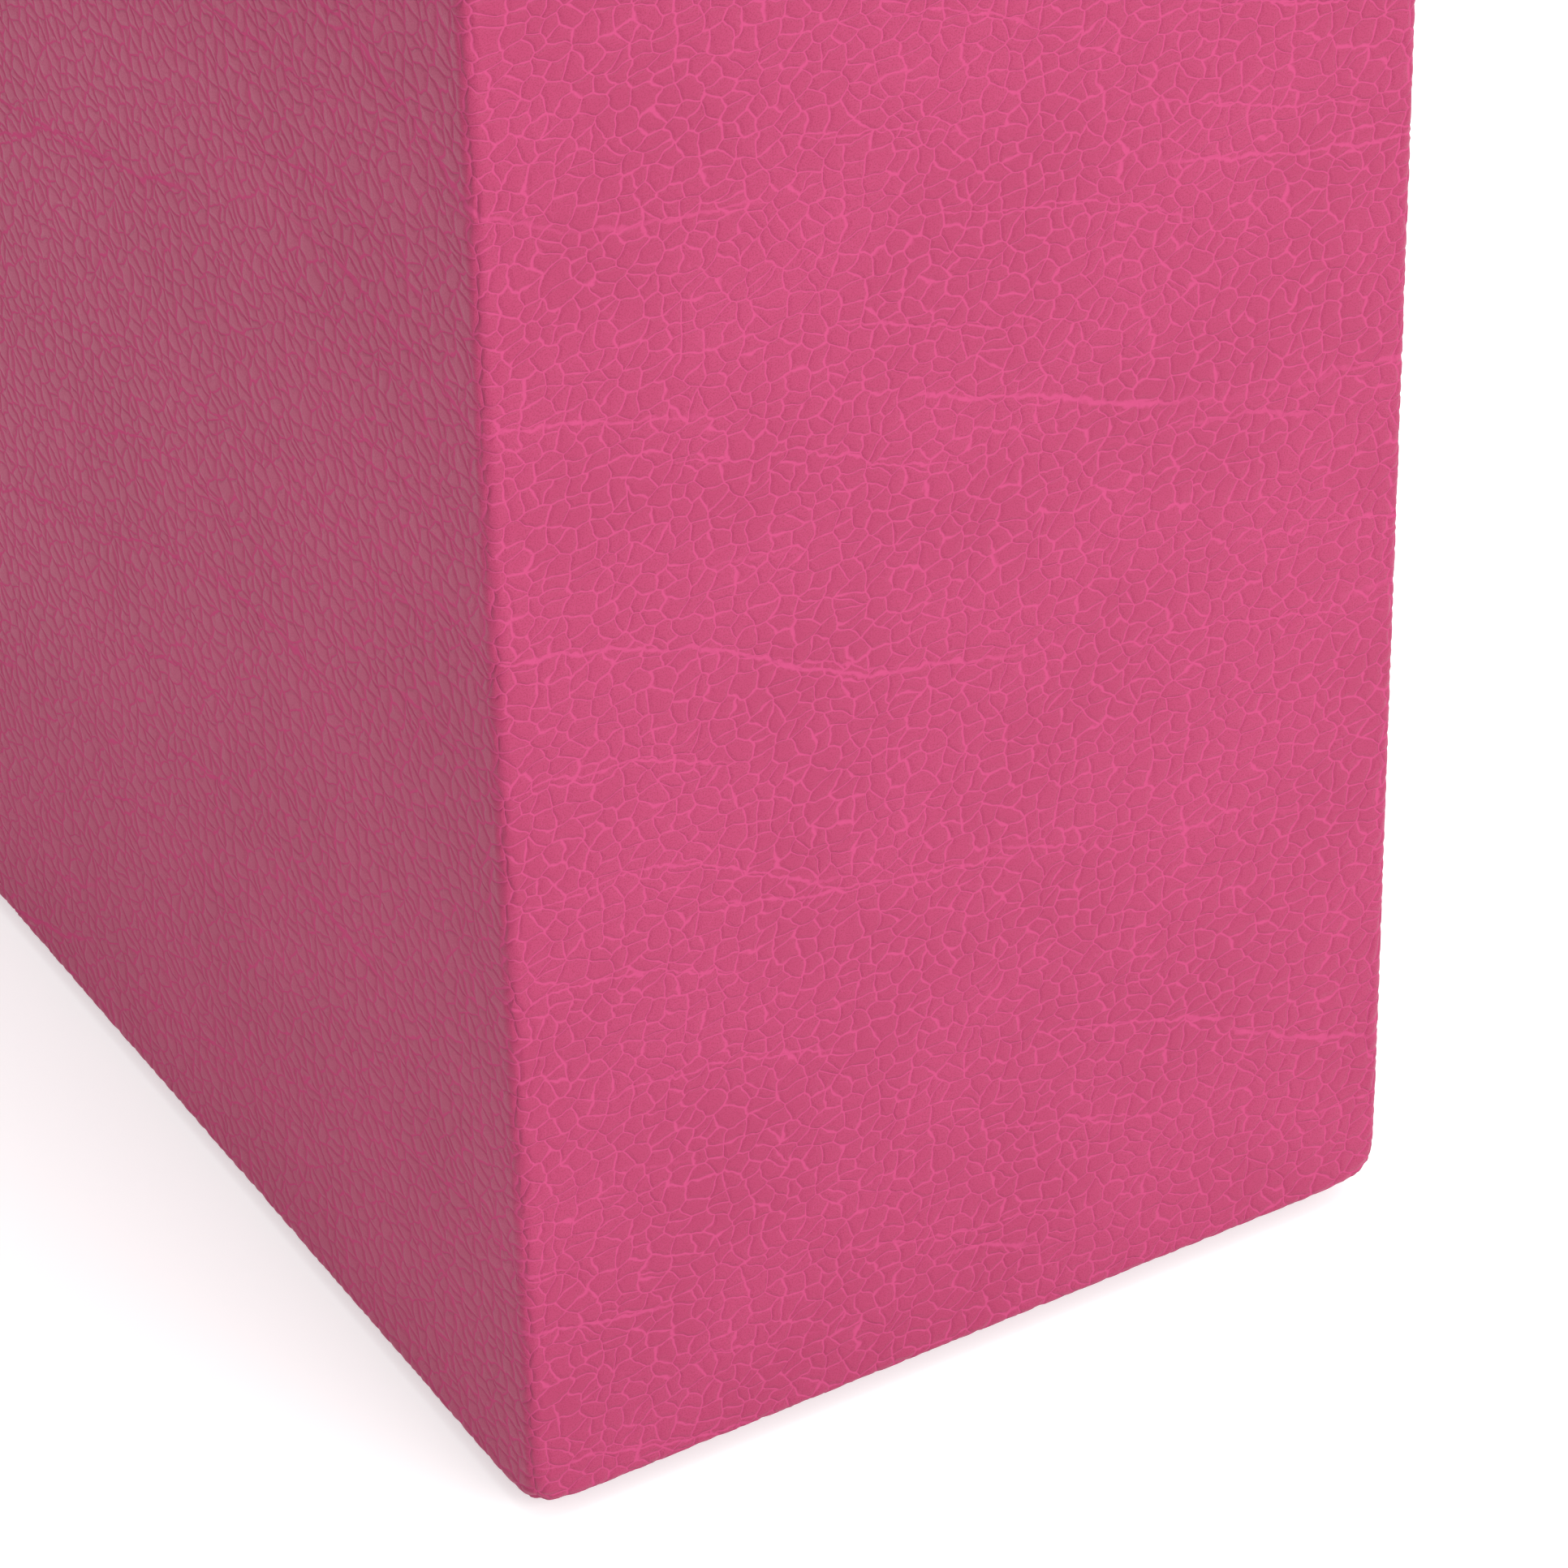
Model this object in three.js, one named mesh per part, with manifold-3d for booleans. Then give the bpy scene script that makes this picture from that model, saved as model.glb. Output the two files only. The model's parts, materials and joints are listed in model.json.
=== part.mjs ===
// An upright leather-covered jewellery case: a board carcass with three drawers, a lift-up lid with a
// mirror over a lined top compartment, a mortised box lock with its key, and a swinging top handle.
// Millimetres, +Z up. The origin is the middle of the case's underside, and the front faces -Y.

import * as THREE from "three";
import { mergeVertices } from "three/addons/utils/BufferGeometryUtils.js";
import Module from "manifold-3d";

const wasm = await Module();
wasm.setup();

// ---------------------------------------------------------------------------------------------
// Driving dimensions
// ---------------------------------------------------------------------------------------------

// The closed case over its leather, without knobs, key, hinges and handle.
const LENGTH = 200;
const DEPTH = 120;
const HEIGHT = 250;
const LID_HEIGHT = 40;
const SEAM = 0.6;

// Thicknesses. GAP is the glue line between touching pieces, PLAY the room around sliding ones.
const LEATHER = 1.2;
const BOARD = 5;
const SHELF = 4;
const APRON = 8;
const LINING = 0.8;
const PAD = 2.6;
const GAP = 0.3;
const PLAY = 0.5;

const BASE = { thickness: 1.5, inset: 5 };
const TURN_IN = 14;
const DRAWER_OPENINGS = [54, 46, 40];

const DRAWER = { wall: 3, floor: 2.5, front: 4.5, lowered: 9, backRoom: 0.9, dividerWidth: 2.4 };
// The knob's outline: its radius, and how far out from the drawer's face that is.
const KNOB_PROFILE = [
  [0, 0],
  [5, 0],
  [5, 1],
  [2.6, 2],
  [2.6, 6],
  [4.8, 7.5],
  [6, 9.5],
  [5.4, 11.8],
  [3, 12.8],
  [0, 13],
];

const COMPARTMENT = { ringBayEnd: -14, divider: 3, dividerHeight: 34 };
const RINGS = { rolls: 6, base: 9, step: 6 };

const MIRROR = { halfX: 79, halfY: 40, glass: 2, frame: 4, border: 5, lip: 3 };

// The lock's front and back are thinner than its other walls, and its top is sunk a little.
const LOCK = { width: 26, depth: 4.4, height: 16, wall: 1.3, face: 0.8, plate: 1, sunk: 0.2 };
const HOOK_ROOM = 0.8;
const KEY = { rise: 5.6, shank: 1.6, play: 0.4, reach: 23 };
const BOW = { radius: 7.5, thickness: 2.4, hole: 1.7, holeOffset: 3.125, lap: 1 };
const COLLAR = { overhang: 1, length: 1.5 };
const BIT = { drop: 3.9, halfX: 0.6, halfY: 0.9 };
const ESCUTCHEON = { width: 13, height: 20, thickness: 1.2, play: 0.6, slotHalf: 0.9, slotDrop: 5.5 };
const KEYHOLE = 3;

const HINGE = { x: 58, width: 30, leaf: 14, thickness: 1, barrel: 2.1, bore: 1.3, web: 1, back: 2.5 };
const HINGE_PIN = { radius: 1, overhang: 0.4 };

const HANDLE = { x: 42, reach: 34, grip: 4.2, corner: 14, pivotHeight: 7, steps: 30, curveSegments: 6 };

// ---------------------------------------------------------------------------------------------
// Derived planes
// ---------------------------------------------------------------------------------------------

const X_SKIN = LENGTH / 2;
const X_BOARD = X_SKIN - LEATHER - GAP;
const X_INNER = X_BOARD - BOARD;
const Y_SKIN = DEPTH / 2;
const Y_BOARD = Y_SKIN - LEATHER - GAP;
const Y_INNER = Y_BOARD - BOARD;
const Y_APRON = -Y_BOARD + APRON;
const Z_SKIN = BASE.thickness + GAP;
const Z_BOARD = Z_SKIN + LEATHER + GAP;
const Z_INNER = Z_BOARD + BOARD;
const BODY_TOP = HEIGHT - LID_HEIGHT;
const BOARD_TOP = BODY_TOP - LEATHER - GAP;
const LID_RISE = LID_HEIGHT - SEAM;
const LID_BOTTOM = BODY_TOP + SEAM;

// The bottom of each drawer opening, and the compartment floor above the last one.
const DRAWER_BOTTOMS = DRAWER_OPENINGS.map(
  (_, i) => Z_INNER + DRAWER_OPENINGS.slice(0, i).reduce((sum, height) => sum + height + SHELF, 0),
);
const FLOOR_BOTTOM = DRAWER_BOTTOMS.at(-1) + DRAWER_OPENINGS.at(-1);
const FLOOR_TOP = FLOOR_BOTTOM + SHELF;

const LOCK_Y = (-Y_BOARD + Y_APRON) / 2;
const LOCK_TOP = BODY_TOP - LOCK.sunk;
const LOCK_BOTTOM = LOCK_TOP - LOCK.height;
const KEY_Z = LOCK_BOTTOM + KEY.rise;

const HINGE_Y = Y_SKIN + HINGE.back;
const HINGE_Z = BODY_TOP + GAP;

// ---------------------------------------------------------------------------------------------
// Materials
// ---------------------------------------------------------------------------------------------

const material = (color, roughness, metalness = 0) =>
  new THREE.MeshStandardMaterial({ color, roughness, metalness });

const LEATHER_PINK = material(0xce5680, 0.55);
const GREYBOARD = material(0xa79a86, 0.9);
const DRAWER_WOOD = material(0xc9ab82, 0.7);
const VELVET = material(0xe0bcb8, 0.95);
const BASE_CLOTH = material(0x4a2b3c, 0.95);
const BRASS = material(0xd8b263, 0.3, 1);
const STEEL = material(0xb9bcc0, 0.35, 1);
const MIRROR_GLASS = material(0xdfe6ea, 0.05, 1);

// ---------------------------------------------------------------------------------------------
// Geometry helpers
// ---------------------------------------------------------------------------------------------

const SEGMENTS = 24;

// A box between its lowest and its highest corner.
function block(low, high) {
  const size = high.map((value, axis) => value - low[axis]);
  const geometry = new THREE.BoxGeometry(...size);
  return geometry.translate(...low.map((value, axis) => value + size[axis] / 2));
}

// A box that is the same on both sides of X = 0.
function wideBlock(halfX, [lowY, lowZ], [highY, highZ]) {
  return block([-halfX, lowY, lowZ], [halfX, highY, highZ]);
}

// A round bar between two places along one axis ("x", "y" or "z"), centred on the other two.
function rod(axis, radius, from, to, [first, second] = [0, 0]) {
  const geometry = new THREE.CylinderGeometry(radius, radius, to - from, SEGMENTS);
  const middle = (from + to) / 2;
  if (axis === "x") return geometry.rotateZ(Math.PI / 2).translate(middle, first, second);
  if (axis === "y") return geometry.translate(first, middle, second);
  return geometry.rotateX(Math.PI / 2).translate(first, second, middle);
}

function solid(geometry) {
  const bare = geometry.clone();
  bare.deleteAttribute("normal");
  bare.deleteAttribute("uv");
  const merged = mergeVertices(bare, 1e-4);
  return new wasm.Manifold(
    new wasm.Mesh({
      numProp: 3,
      vertProperties: merged.attributes.position.array,
      triVerts: new Uint32Array(merged.index.array),
    }),
  );
}

function geometryOf(manifold) {
  const mesh = manifold.getMesh();
  const geometry = new THREE.BufferGeometry();
  geometry.setAttribute("position", new THREE.BufferAttribute(mesh.vertProperties, mesh.numProp));
  geometry.setIndex(new THREE.BufferAttribute(mesh.triVerts, 1));
  geometry.computeVertexNormals();
  return geometry;
}

const cut = (geometry, ...tools) =>
  geometryOf(tools.reduce((left, tool) => left.subtract(solid(tool)), solid(geometry)));

const join = (geometry, ...others) =>
  geometryOf(others.reduce((sum, other) => sum.add(solid(other)), solid(geometry)));

function piece(parent, name, geometry, look) {
  const mesh = new THREE.Mesh(geometry, look);
  mesh.name = name;
  parent.add(mesh);
  return mesh;
}

function group(parent, x, y, z) {
  const made = new THREE.Group();
  made.position.set(x, y, z);
  parent.add(made);
  return made;
}

// ---------------------------------------------------------------------------------------------
// Carcass: greyboard walls, shelves and the compartment floor
// ---------------------------------------------------------------------------------------------

function addCarcass(parent) {
  const between = X_INNER - GAP;
  const baseY = Y_SKIN - BASE.inset;
  const panel = wideBlock(X_SKIN - BASE.inset, [-baseY, 0], [baseY, BASE.thickness]);
  piece(parent, "base_panel", panel, BASE_CLOTH);
  const bottom = wideBlock(between, [-Y_BOARD, Z_BOARD], [Y_INNER - GAP, Z_INNER]);
  piece(parent, "bottom_board", bottom, GREYBOARD);
  const back = wideBlock(between, [Y_INNER, Z_BOARD], [Y_BOARD, BOARD_TOP]);
  piece(parent, "back_board", back, GREYBOARD);
  const left = block([-X_BOARD, -Y_BOARD, Z_BOARD], [-X_INNER, Y_BOARD, BOARD_TOP]);
  piece(parent, "left_board", left, GREYBOARD);
  const right = block([X_INNER, -Y_BOARD, Z_BOARD], [X_BOARD, Y_BOARD, BOARD_TOP]);
  piece(parent, "right_board", right, GREYBOARD);

  DRAWER_BOTTOMS.slice(1).forEach((above, i) => {
    const shelf = wideBlock(between, [-Y_BOARD, above - SHELF], [Y_INNER - GAP, above]);
    piece(parent, `shelf_${i + 1}`, shelf, GREYBOARD);
    const edging = wideBlock(between, [-Y_SKIN, above - SHELF], [-Y_SKIN + LEATHER, above]);
    piece(parent, `shelf_edging_${i + 1}`, edging, LEATHER_PINK);
  });
  const floor = wideBlock(between, [-Y_BOARD, FLOOR_BOTTOM], [Y_INNER - GAP, FLOOR_TOP]);
  piece(parent, "compartment_floor", floor, GREYBOARD);

  const mortise = wideBlock(
    LOCK.width / 2 + GAP,
    [LOCK_Y - LOCK.depth / 2 - GAP, LOCK_BOTTOM - GAP],
    [LOCK_Y + LOCK.depth / 2 + GAP, HEIGHT],
  );
  const apron = cut(
    wideBlock(between, [-Y_BOARD, FLOOR_TOP + GAP], [Y_APRON, BOARD_TOP]),
    mortise,
    rod("y", KEYHOLE, -Y_SKIN, LOCK_Y, [0, KEY_Z]),
  );
  piece(parent, "apron_board", apron, GREYBOARD);
}

// ---------------------------------------------------------------------------------------------
// Leather: one hide wrapped round the carcass, and the strip over the front apron
// ---------------------------------------------------------------------------------------------

function addBodyLeather(parent) {
  const inside = X_SKIN - LEATHER;
  const leather = cut(
    wideBlock(X_SKIN, [-Y_SKIN, Z_SKIN], [Y_SKIN, BODY_TOP]),
    wideBlock(inside, [-Y_SKIN + LEATHER, Z_SKIN + LEATHER], [Y_SKIN - LEATHER, BODY_TOP - LEATHER]),
    wideBlock(X_SKIN - TURN_IN, [-Y_SKIN + TURN_IN, 0], [Y_SKIN - TURN_IN, Z_BOARD]),
    wideBlock(X_INNER, [-Y_BOARD, BOARD_TOP - GAP], [Y_INNER, HEIGHT]),
    wideBlock(X_INNER, [-DEPTH, Z_INNER - GAP], [0, HEIGHT]),
  );
  piece(parent, "body_leather", leather, LEATHER_PINK);
}

function addApronLeather(parent) {
  const between = X_INNER - GAP;
  const face = wideBlock(between, [-Y_SKIN, FLOOR_BOTTOM], [-Y_SKIN + LEATHER, BODY_TOP]);
  const turnOver = wideBlock(between, [-Y_SKIN, BODY_TOP - LEATHER], [Y_APRON, BODY_TOP]);
  const lockWindow = wideBlock(
    LOCK.width / 2 + GAP,
    [LOCK_Y - LOCK.depth / 2 - GAP, BOARD_TOP],
    [LOCK_Y + LOCK.depth / 2 + GAP, HEIGHT],
  );
  const keyhole = rod("y", KEYHOLE, -DEPTH, LOCK_Y, [0, KEY_Z]);
  piece(parent, "apron_leather", cut(join(face, turnOver), lockWindow, keyhole), LEATHER_PINK);
}

// ---------------------------------------------------------------------------------------------
// Top compartment: velvet lining, ring rolls and dividers
// ---------------------------------------------------------------------------------------------

function addCompartment(parent) {
  const halfX = X_INNER - GAP;
  const front = Y_APRON + GAP;
  const back = Y_INNER - GAP;
  const low = FLOOR_TOP + GAP;
  const lining = cut(
    wideBlock(halfX, [front, low], [back, BODY_TOP - GAP]),
    wideBlock(halfX - LINING, [front + LINING, low + LINING], [back - LINING, HEIGHT]),
  );
  piece(parent, "compartment_lining", lining, VELVET);

  const room = LINING + GAP;
  const floor = low + room;
  const wide = halfX - room;
  const length = back - front - 2 * room;
  const rollRadius = length / (2 * RINGS.rolls);
  const outline = new THREE.Shape();
  outline.moveTo(0, 0);
  outline.lineTo(length, 0);
  outline.lineTo(length, RINGS.base);
  for (let roll = RINGS.rolls - 1; roll >= 0; roll -= 1) {
    const middle = (2 * roll + 1) * rollRadius;
    for (let step = 1; step <= RINGS.step; step += 1) {
      const angle = (Math.PI * step) / RINGS.step;
      outline.lineTo(middle + rollRadius * Math.cos(angle), RINGS.base + rollRadius * Math.sin(angle));
    }
  }
  outline.closePath();
  const bay = COMPARTMENT.ringBayEnd - -wide;
  const cushion = new THREE.ExtrudeGeometry(outline, { depth: bay, bevelEnabled: false, steps: 1 });
  // The outline's x becomes Y and its y becomes Z, so that the rolls run along X.
  const turn = new THREE.Matrix4().makeBasis(
    new THREE.Vector3(0, 1, 0),
    new THREE.Vector3(0, 0, 1),
    new THREE.Vector3(1, 0, 0),
  );
  cushion.applyMatrix4(turn).translate(-wide, front + room, floor);
  piece(parent, "ring_cushion", cushion, VELVET);

  const wallEnd = COMPARTMENT.ringBayEnd + GAP + COMPARTMENT.divider;
  const top = floor + COMPARTMENT.dividerHeight;
  const long = block([COMPARTMENT.ringBayEnd + GAP, front + room, floor], [wallEnd, back - room, top]);
  piece(parent, "long_divider", long, VELVET);
  const middleY = (front + back) / 2;
  const cross = block(
    [wallEnd + GAP, middleY - COMPARTMENT.divider / 2, floor],
    [wide, middleY + COMPARTMENT.divider / 2, top],
  );
  piece(parent, "cross_divider", cross, VELVET);
}

// ---------------------------------------------------------------------------------------------
// Box lock in the apron: case, sliding bolt, escutcheon and key. The bolt slides towards +X over
// the foot of the lid's hook when the key turns.
// ---------------------------------------------------------------------------------------------

const HOOK = { stemLow: 6.2, stemHigh: 8.2, footLow: 3.2, low: -8.4, footTop: -6.6, thickness: 1.2 };
const BOLT = { low: -8.5, high: 1.5, bottom: 0.4, height: 2.6, thickness: 1.2 };
const LUG = { start: 1, end: 4, drop: 0.7, lap: 0.1 };

function addLock(parent) {
  const halfDepth = LOCK.depth / 2;
  const cavity = halfDepth - LOCK.face;
  const lockCase = cut(
    wideBlock(LOCK.width / 2, [LOCK_Y - halfDepth, LOCK_BOTTOM], [LOCK_Y + halfDepth, LOCK_TOP]),
    wideBlock(
      LOCK.width / 2 - LOCK.wall,
      [LOCK_Y - cavity, LOCK_BOTTOM + LOCK.wall],
      [LOCK_Y + cavity, LOCK_TOP - LOCK.plate],
    ),
    block(
      [HOOK.footLow - HOOK_ROOM, LOCK_Y - cavity, LOCK_BOTTOM + LOCK.height / 2],
      [HOOK.stemHigh + HOOK_ROOM, LOCK_Y + cavity, HEIGHT],
    ),
    rod("y", KEY.shank + KEY.play, -DEPTH, LOCK_Y, [0, KEY_Z]),
  );
  piece(parent, "lock_case", lockCase, BRASS);

  const plate = new THREE.Shape();
  plate.absellipse(0, 0, ESCUTCHEON.width / 2, ESCUTCHEON.height / 2, 0, 2 * Math.PI, false, 0);
  const front = -Y_SKIN - GAP - ESCUTCHEON.thickness;
  const oval = new THREE.ExtrudeGeometry(plate, {
    depth: ESCUTCHEON.thickness,
    bevelEnabled: false,
    curveSegments: SEGMENTS / 2,
  });
  oval.rotateX(Math.PI / 2).translate(0, front + ESCUTCHEON.thickness, KEY_Z);
  const round = rod("y", KEY.shank + ESCUTCHEON.play, -DEPTH, 0, [0, KEY_Z]);
  const slot = block(
    [-ESCUTCHEON.slotHalf, -DEPTH, KEY_Z - ESCUTCHEON.slotDrop],
    [ESCUTCHEON.slotHalf, 0, KEY_Z],
  );
  piece(parent, "key_escutcheon", cut(oval, round, slot), BRASS);
}

function addBolt(parent) {
  const hookFootTop = LID_BOTTOM + HOOK.footTop;
  const low = hookFootTop + BOLT.bottom;
  const [front, back] = [LOCK_Y - BOLT.thickness / 2, LOCK_Y + BOLT.thickness / 2];
  const bar = block([BOLT.low, front, low], [BOLT.high, back, low + BOLT.height]);
  const lug = block(
    [BOLT.low + LUG.start, front, low - LUG.drop],
    [BOLT.low + LUG.end, back, low + LUG.lap],
  );
  piece(parent, "lock_bolt", join(bar, lug), STEEL);
}

function addKey(parent) {
  const key = group(parent, 0, 0, KEY_Z);
  const collarFront = -Y_SKIN - GAP - ESCUTCHEON.thickness - GAP;
  const bowMiddle = -Y_SKIN - KEY.reach + BOW.radius;
  const bow = rod("x", BOW.radius, -BOW.thickness / 2, BOW.thickness / 2, [bowMiddle, 0]);
  const shank = rod("y", KEY.shank, bowMiddle + BOW.radius - BOW.lap, LOCK_Y + BOW.lap);
  const collar = rod("y", KEY.shank + COLLAR.overhang, collarFront - COLLAR.length, collarFront);
  const bit = block([-BIT.halfX, LOCK_Y - BIT.halfY, -BIT.drop], [BIT.halfX, LOCK_Y + BIT.halfY, 0]);
  const hole = rod("x", BOW.hole, -BOW.thickness, BOW.thickness, [bowMiddle - BOW.holeOffset, 0]);
  piece(key, "key", cut(join(bow, shank, collar, bit), hole), BRASS);
}

// ---------------------------------------------------------------------------------------------
// Butt hinges on the back: each has a body leaf with two knuckles, a lid leaf with one, and a pin
// ---------------------------------------------------------------------------------------------

// One leaf round the hinge axis, in the hinge's own frame. up is 1 for the lid's leaf, -1 for the body's.
function hingeLeaf(up) {
  const third = HINGE.width / 6;
  const front = -HINGE.back + GAP;
  const ends = up > 0 ? [GAP / 2, HINGE.leaf] : [-HINGE.leaf, -GAP / 2];
  const plate = wideBlock(HINGE.width / 2, [front, ends[0]], [front + HINGE.thickness, ends[1]]);
  const middle = [[-third + GAP, third - GAP]];
  const outer = [
    [-HINGE.width / 2, -third],
    [third, HINGE.width / 2],
  ];
  const [own, others] = up > 0 ? [middle, outer] : [outer, middle];
  const clear = HINGE.barrel + GAP;
  const cleared = cut(plate, ...others.map(([from, to]) => rod("x", clear, from - GAP, to + GAP)));
  const web = ([from, to]) => {
    const end = HINGE.barrel + HINGE.web;
    const edge = up > 0 ? [0, end] : [-end, 0];
    return block([from, front, edge[0]], [to, front + HINGE.thickness, edge[1]]);
  };
  const knuckles = own.flatMap(([from, to]) => [rod("x", HINGE.barrel, from, to), web([from, to])]);
  return cut(join(cleared, ...knuckles), rod("x", HINGE.bore, -HINGE.width, HINGE.width));
}

const HINGE_SIDES = [
  ["left", -HINGE.x],
  ["right", HINGE.x],
];

function addBodyHinges(parent) {
  HINGE_SIDES.forEach(([side, x]) => {
    const place = group(parent, x, HINGE_Y, HINGE_Z);
    piece(place, `${side}_hinge_body_leaf`, hingeLeaf(-1), BRASS);
    const pinEnd = HINGE.width / 2 + HINGE_PIN.overhang;
    const pin = rod("x", HINGE_PIN.radius, -pinEnd, pinEnd);
    piece(place, `${side}_hinge_pin`, pin, BRASS);
  });
}

// ---------------------------------------------------------------------------------------------
// Drawers. Each one's frame has its origin in the middle of the bottom of its opening.
// ---------------------------------------------------------------------------------------------

function knobGeometry() {
  const profile = KNOB_PROFILE.map(([radius, along]) => new THREE.Vector2(radius, along));
  // The lathe turns about Y, and the knob's tip is to point towards -Y.
  return new THREE.LatheGeometry(profile, SEGMENTS).rotateX(Math.PI);
}

function addDrawer(root, index) {
  const opening = DRAWER_OPENINGS[index];
  const number = index + 1;
  const drawer = group(root, 0, 0, DRAWER_BOTTOMS[index]);
  const skinX = X_INNER - PLAY;
  const [low, high] = [PLAY, opening - PLAY];
  const skinBack = -Y_BOARD + DRAWER.front;
  const edge = LEATHER + GAP;
  const inside = -Y_SKIN + LEATHER;
  const boardRoom = wideBlock(skinX - LEATHER, [inside, low + LEATHER], [0, high - LEATHER]);
  const leather = cut(wideBlock(skinX, [-Y_SKIN, low], [skinBack, high]), boardRoom);
  piece(drawer, `drawer_${number}_leather`, leather, LEATHER_PINK);
  const board = wideBlock(skinX - edge, [-Y_BOARD, low + edge], [skinBack, high - edge]);
  piece(drawer, `drawer_${number}_front`, board, GREYBOARD);

  const boxX = skinX - PLAY;
  const [front, back] = [skinBack + GAP, Y_INNER - DRAWER.backRoom];
  const rim = opening - DRAWER.lowered;
  const { wall, floor } = DRAWER;
  const boxSolid = cut(
    wideBlock(boxX, [front, low], [back, rim]),
    wideBlock(boxX - wall, [front + wall, low + floor], [back - wall, opening]),
  );
  piece(drawer, `drawer_${number}_box`, boxSolid, DRAWER_WOOD);

  const room = wall + GAP;
  const liningLow = low + floor + GAP;
  const inner = room + LINING;
  const lining = cut(
    wideBlock(boxX - room, [front + room, liningLow], [back - room, rim - PLAY]),
    wideBlock(boxX - inner, [front + inner, liningLow + LINING], [back - inner, opening]),
  );
  piece(drawer, `drawer_${number}_lining`, lining, VELVET);

  const knob = piece(drawer, `drawer_${number}_knob`, knobGeometry(), BRASS);
  knob.position.set(0, -Y_SKIN - GAP, opening / 2);

  // The shallow top drawer is parted in two.
  if (number === DRAWER_OPENINGS.length) {
    const half = DRAWER.dividerWidth / 2;
    const divider = block(
      [-half, front + inner + GAP, liningLow + LINING + GAP],
      [half, back - inner - GAP, rim - 2 * PLAY],
    );
    piece(drawer, `drawer_${number}_divider`, divider, VELVET);
  }
}

// ---------------------------------------------------------------------------------------------
// Lid. Its frame has its origin in the middle of the lid's lower edge.
// ---------------------------------------------------------------------------------------------

function addLidBoards(lid) {
  const low = LEATHER + GAP;
  const topHigh = LID_RISE - LEATHER - GAP;
  const topLow = topHigh - BOARD;
  const rimTop = topLow - GAP;
  const between = X_INNER - GAP;
  piece(lid, "lid_top_board", wideBlock(X_BOARD, [-Y_BOARD, topLow], [Y_BOARD, topHigh]), GREYBOARD);
  piece(lid, "lid_front_board", wideBlock(between, [-Y_BOARD, low], [-Y_INNER, rimTop]), GREYBOARD);
  piece(lid, "lid_back_board", wideBlock(between, [Y_INNER, low], [Y_BOARD, rimTop]), GREYBOARD);
  const left = block([-X_BOARD, -Y_BOARD, low], [-X_INNER, Y_BOARD, rimTop]);
  piece(lid, "lid_left_board", left, GREYBOARD);
  const right = block([X_INNER, -Y_BOARD, low], [X_BOARD, Y_BOARD, rimTop]);
  piece(lid, "lid_right_board", right, GREYBOARD);
  return rimTop;
}

function addLidLeather(lid) {
  const strikePocket = wideBlock(
    LOCK.width / 2 + GAP,
    [LOCK_Y - LOCK.depth / 2 - GAP, -LEATHER],
    [LOCK_Y + LOCK.depth / 2 + GAP, LEATHER + GAP / 2],
  );
  const leather = cut(
    wideBlock(X_SKIN, [-Y_SKIN, 0], [Y_SKIN, LID_RISE]),
    wideBlock(X_SKIN - LEATHER, [-Y_SKIN + LEATHER, LEATHER], [Y_SKIN - LEATHER, LID_RISE - LEATHER]),
    wideBlock(X_INNER, [-Y_INNER, -LEATHER], [Y_INNER, 2 * LEATHER]),
    strikePocket,
  );
  piece(lid, "lid_leather", leather, LEATHER_PINK);
}

function addLidInside(lid, rimTop) {
  const [halfX, halfY] = [X_INNER - GAP, Y_INNER - GAP];
  const top = rimTop;
  const padLow = top - PAD;
  const lining = cut(
    wideBlock(halfX, [-halfY, LOCK.plate + GAP], [halfY, top]),
    wideBlock(halfX - LINING, [-halfY + LINING, 0], [halfY - LINING, padLow]),
  );
  piece(lid, "lid_lining", lining, VELVET);

  const frameTop = padLow - GAP;
  const frameLow = frameTop - MIRROR.frame;
  const [glassX, glassY] = [MIRROR.halfX, MIRROR.halfY];
  const { border, lip } = MIRROR;
  const glassTop = frameTop - GAP;
  const glassLow = glassTop - MIRROR.glass;
  const frame = cut(
    wideBlock(glassX + border, [-glassY - border, frameLow], [glassY + border, frameTop]),
    wideBlock(glassX - lip, [-glassY + lip, 0], [glassY - lip, padLow]),
    wideBlock(glassX + GAP, [-glassY - GAP, glassLow - GAP], [glassY + GAP, padLow]),
  );
  piece(lid, "mirror_frame", frame, VELVET);
  piece(lid, "mirror_glass", wideBlock(glassX, [-glassY, glassLow], [glassY, glassTop]), MIRROR_GLASS);
}

const STRIKE_THICKNESS = 0.9;

function addStrike(lid) {
  const halfDepth = LOCK.depth / 2;
  const plateLow = LOCK.plate - STRIKE_THICKNESS;
  const plate = wideBlock(LOCK.width / 2, [LOCK_Y - halfDepth, plateLow], [LOCK_Y + halfDepth, LOCK.plate]);
  const [front, back] = [LOCK_Y - HOOK.thickness / 2, LOCK_Y + HOOK.thickness / 2];
  const stem = block([HOOK.stemLow, front, HOOK.low], [HOOK.stemHigh, back, LOCK.plate]);
  const foot = block([HOOK.footLow, front, HOOK.low], [HOOK.stemHigh, back, HOOK.footTop]);
  piece(lid, "lid_strike", join(plate, stem, foot), BRASS);
}

function addLidHinges(lid) {
  HINGE_SIDES.forEach(([side, x]) => {
    const place = group(lid, x, HINGE_Y, HINGE_Z - LID_BOTTOM);
    piece(place, `${side}_hinge_lid_leaf`, hingeLeaf(1), BRASS);
  });
}

// ---------------------------------------------------------------------------------------------
// Handle: two brackets on the lid, two eye fittings and a leather grip. The handle's frame has its
// origin on the pivot axis, and at rest the handle lies flat towards the front.
// ---------------------------------------------------------------------------------------------

const HANDLE_SIDES = [
  ["left", -1],
  ["right", 1],
];
const EYE = { half: 1.5, radius: 4.2, hole: 2.1, web: 2.5 };
const SOCKET = { start: 8, end: 16, radius: 5, lap: 1 };

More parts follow.
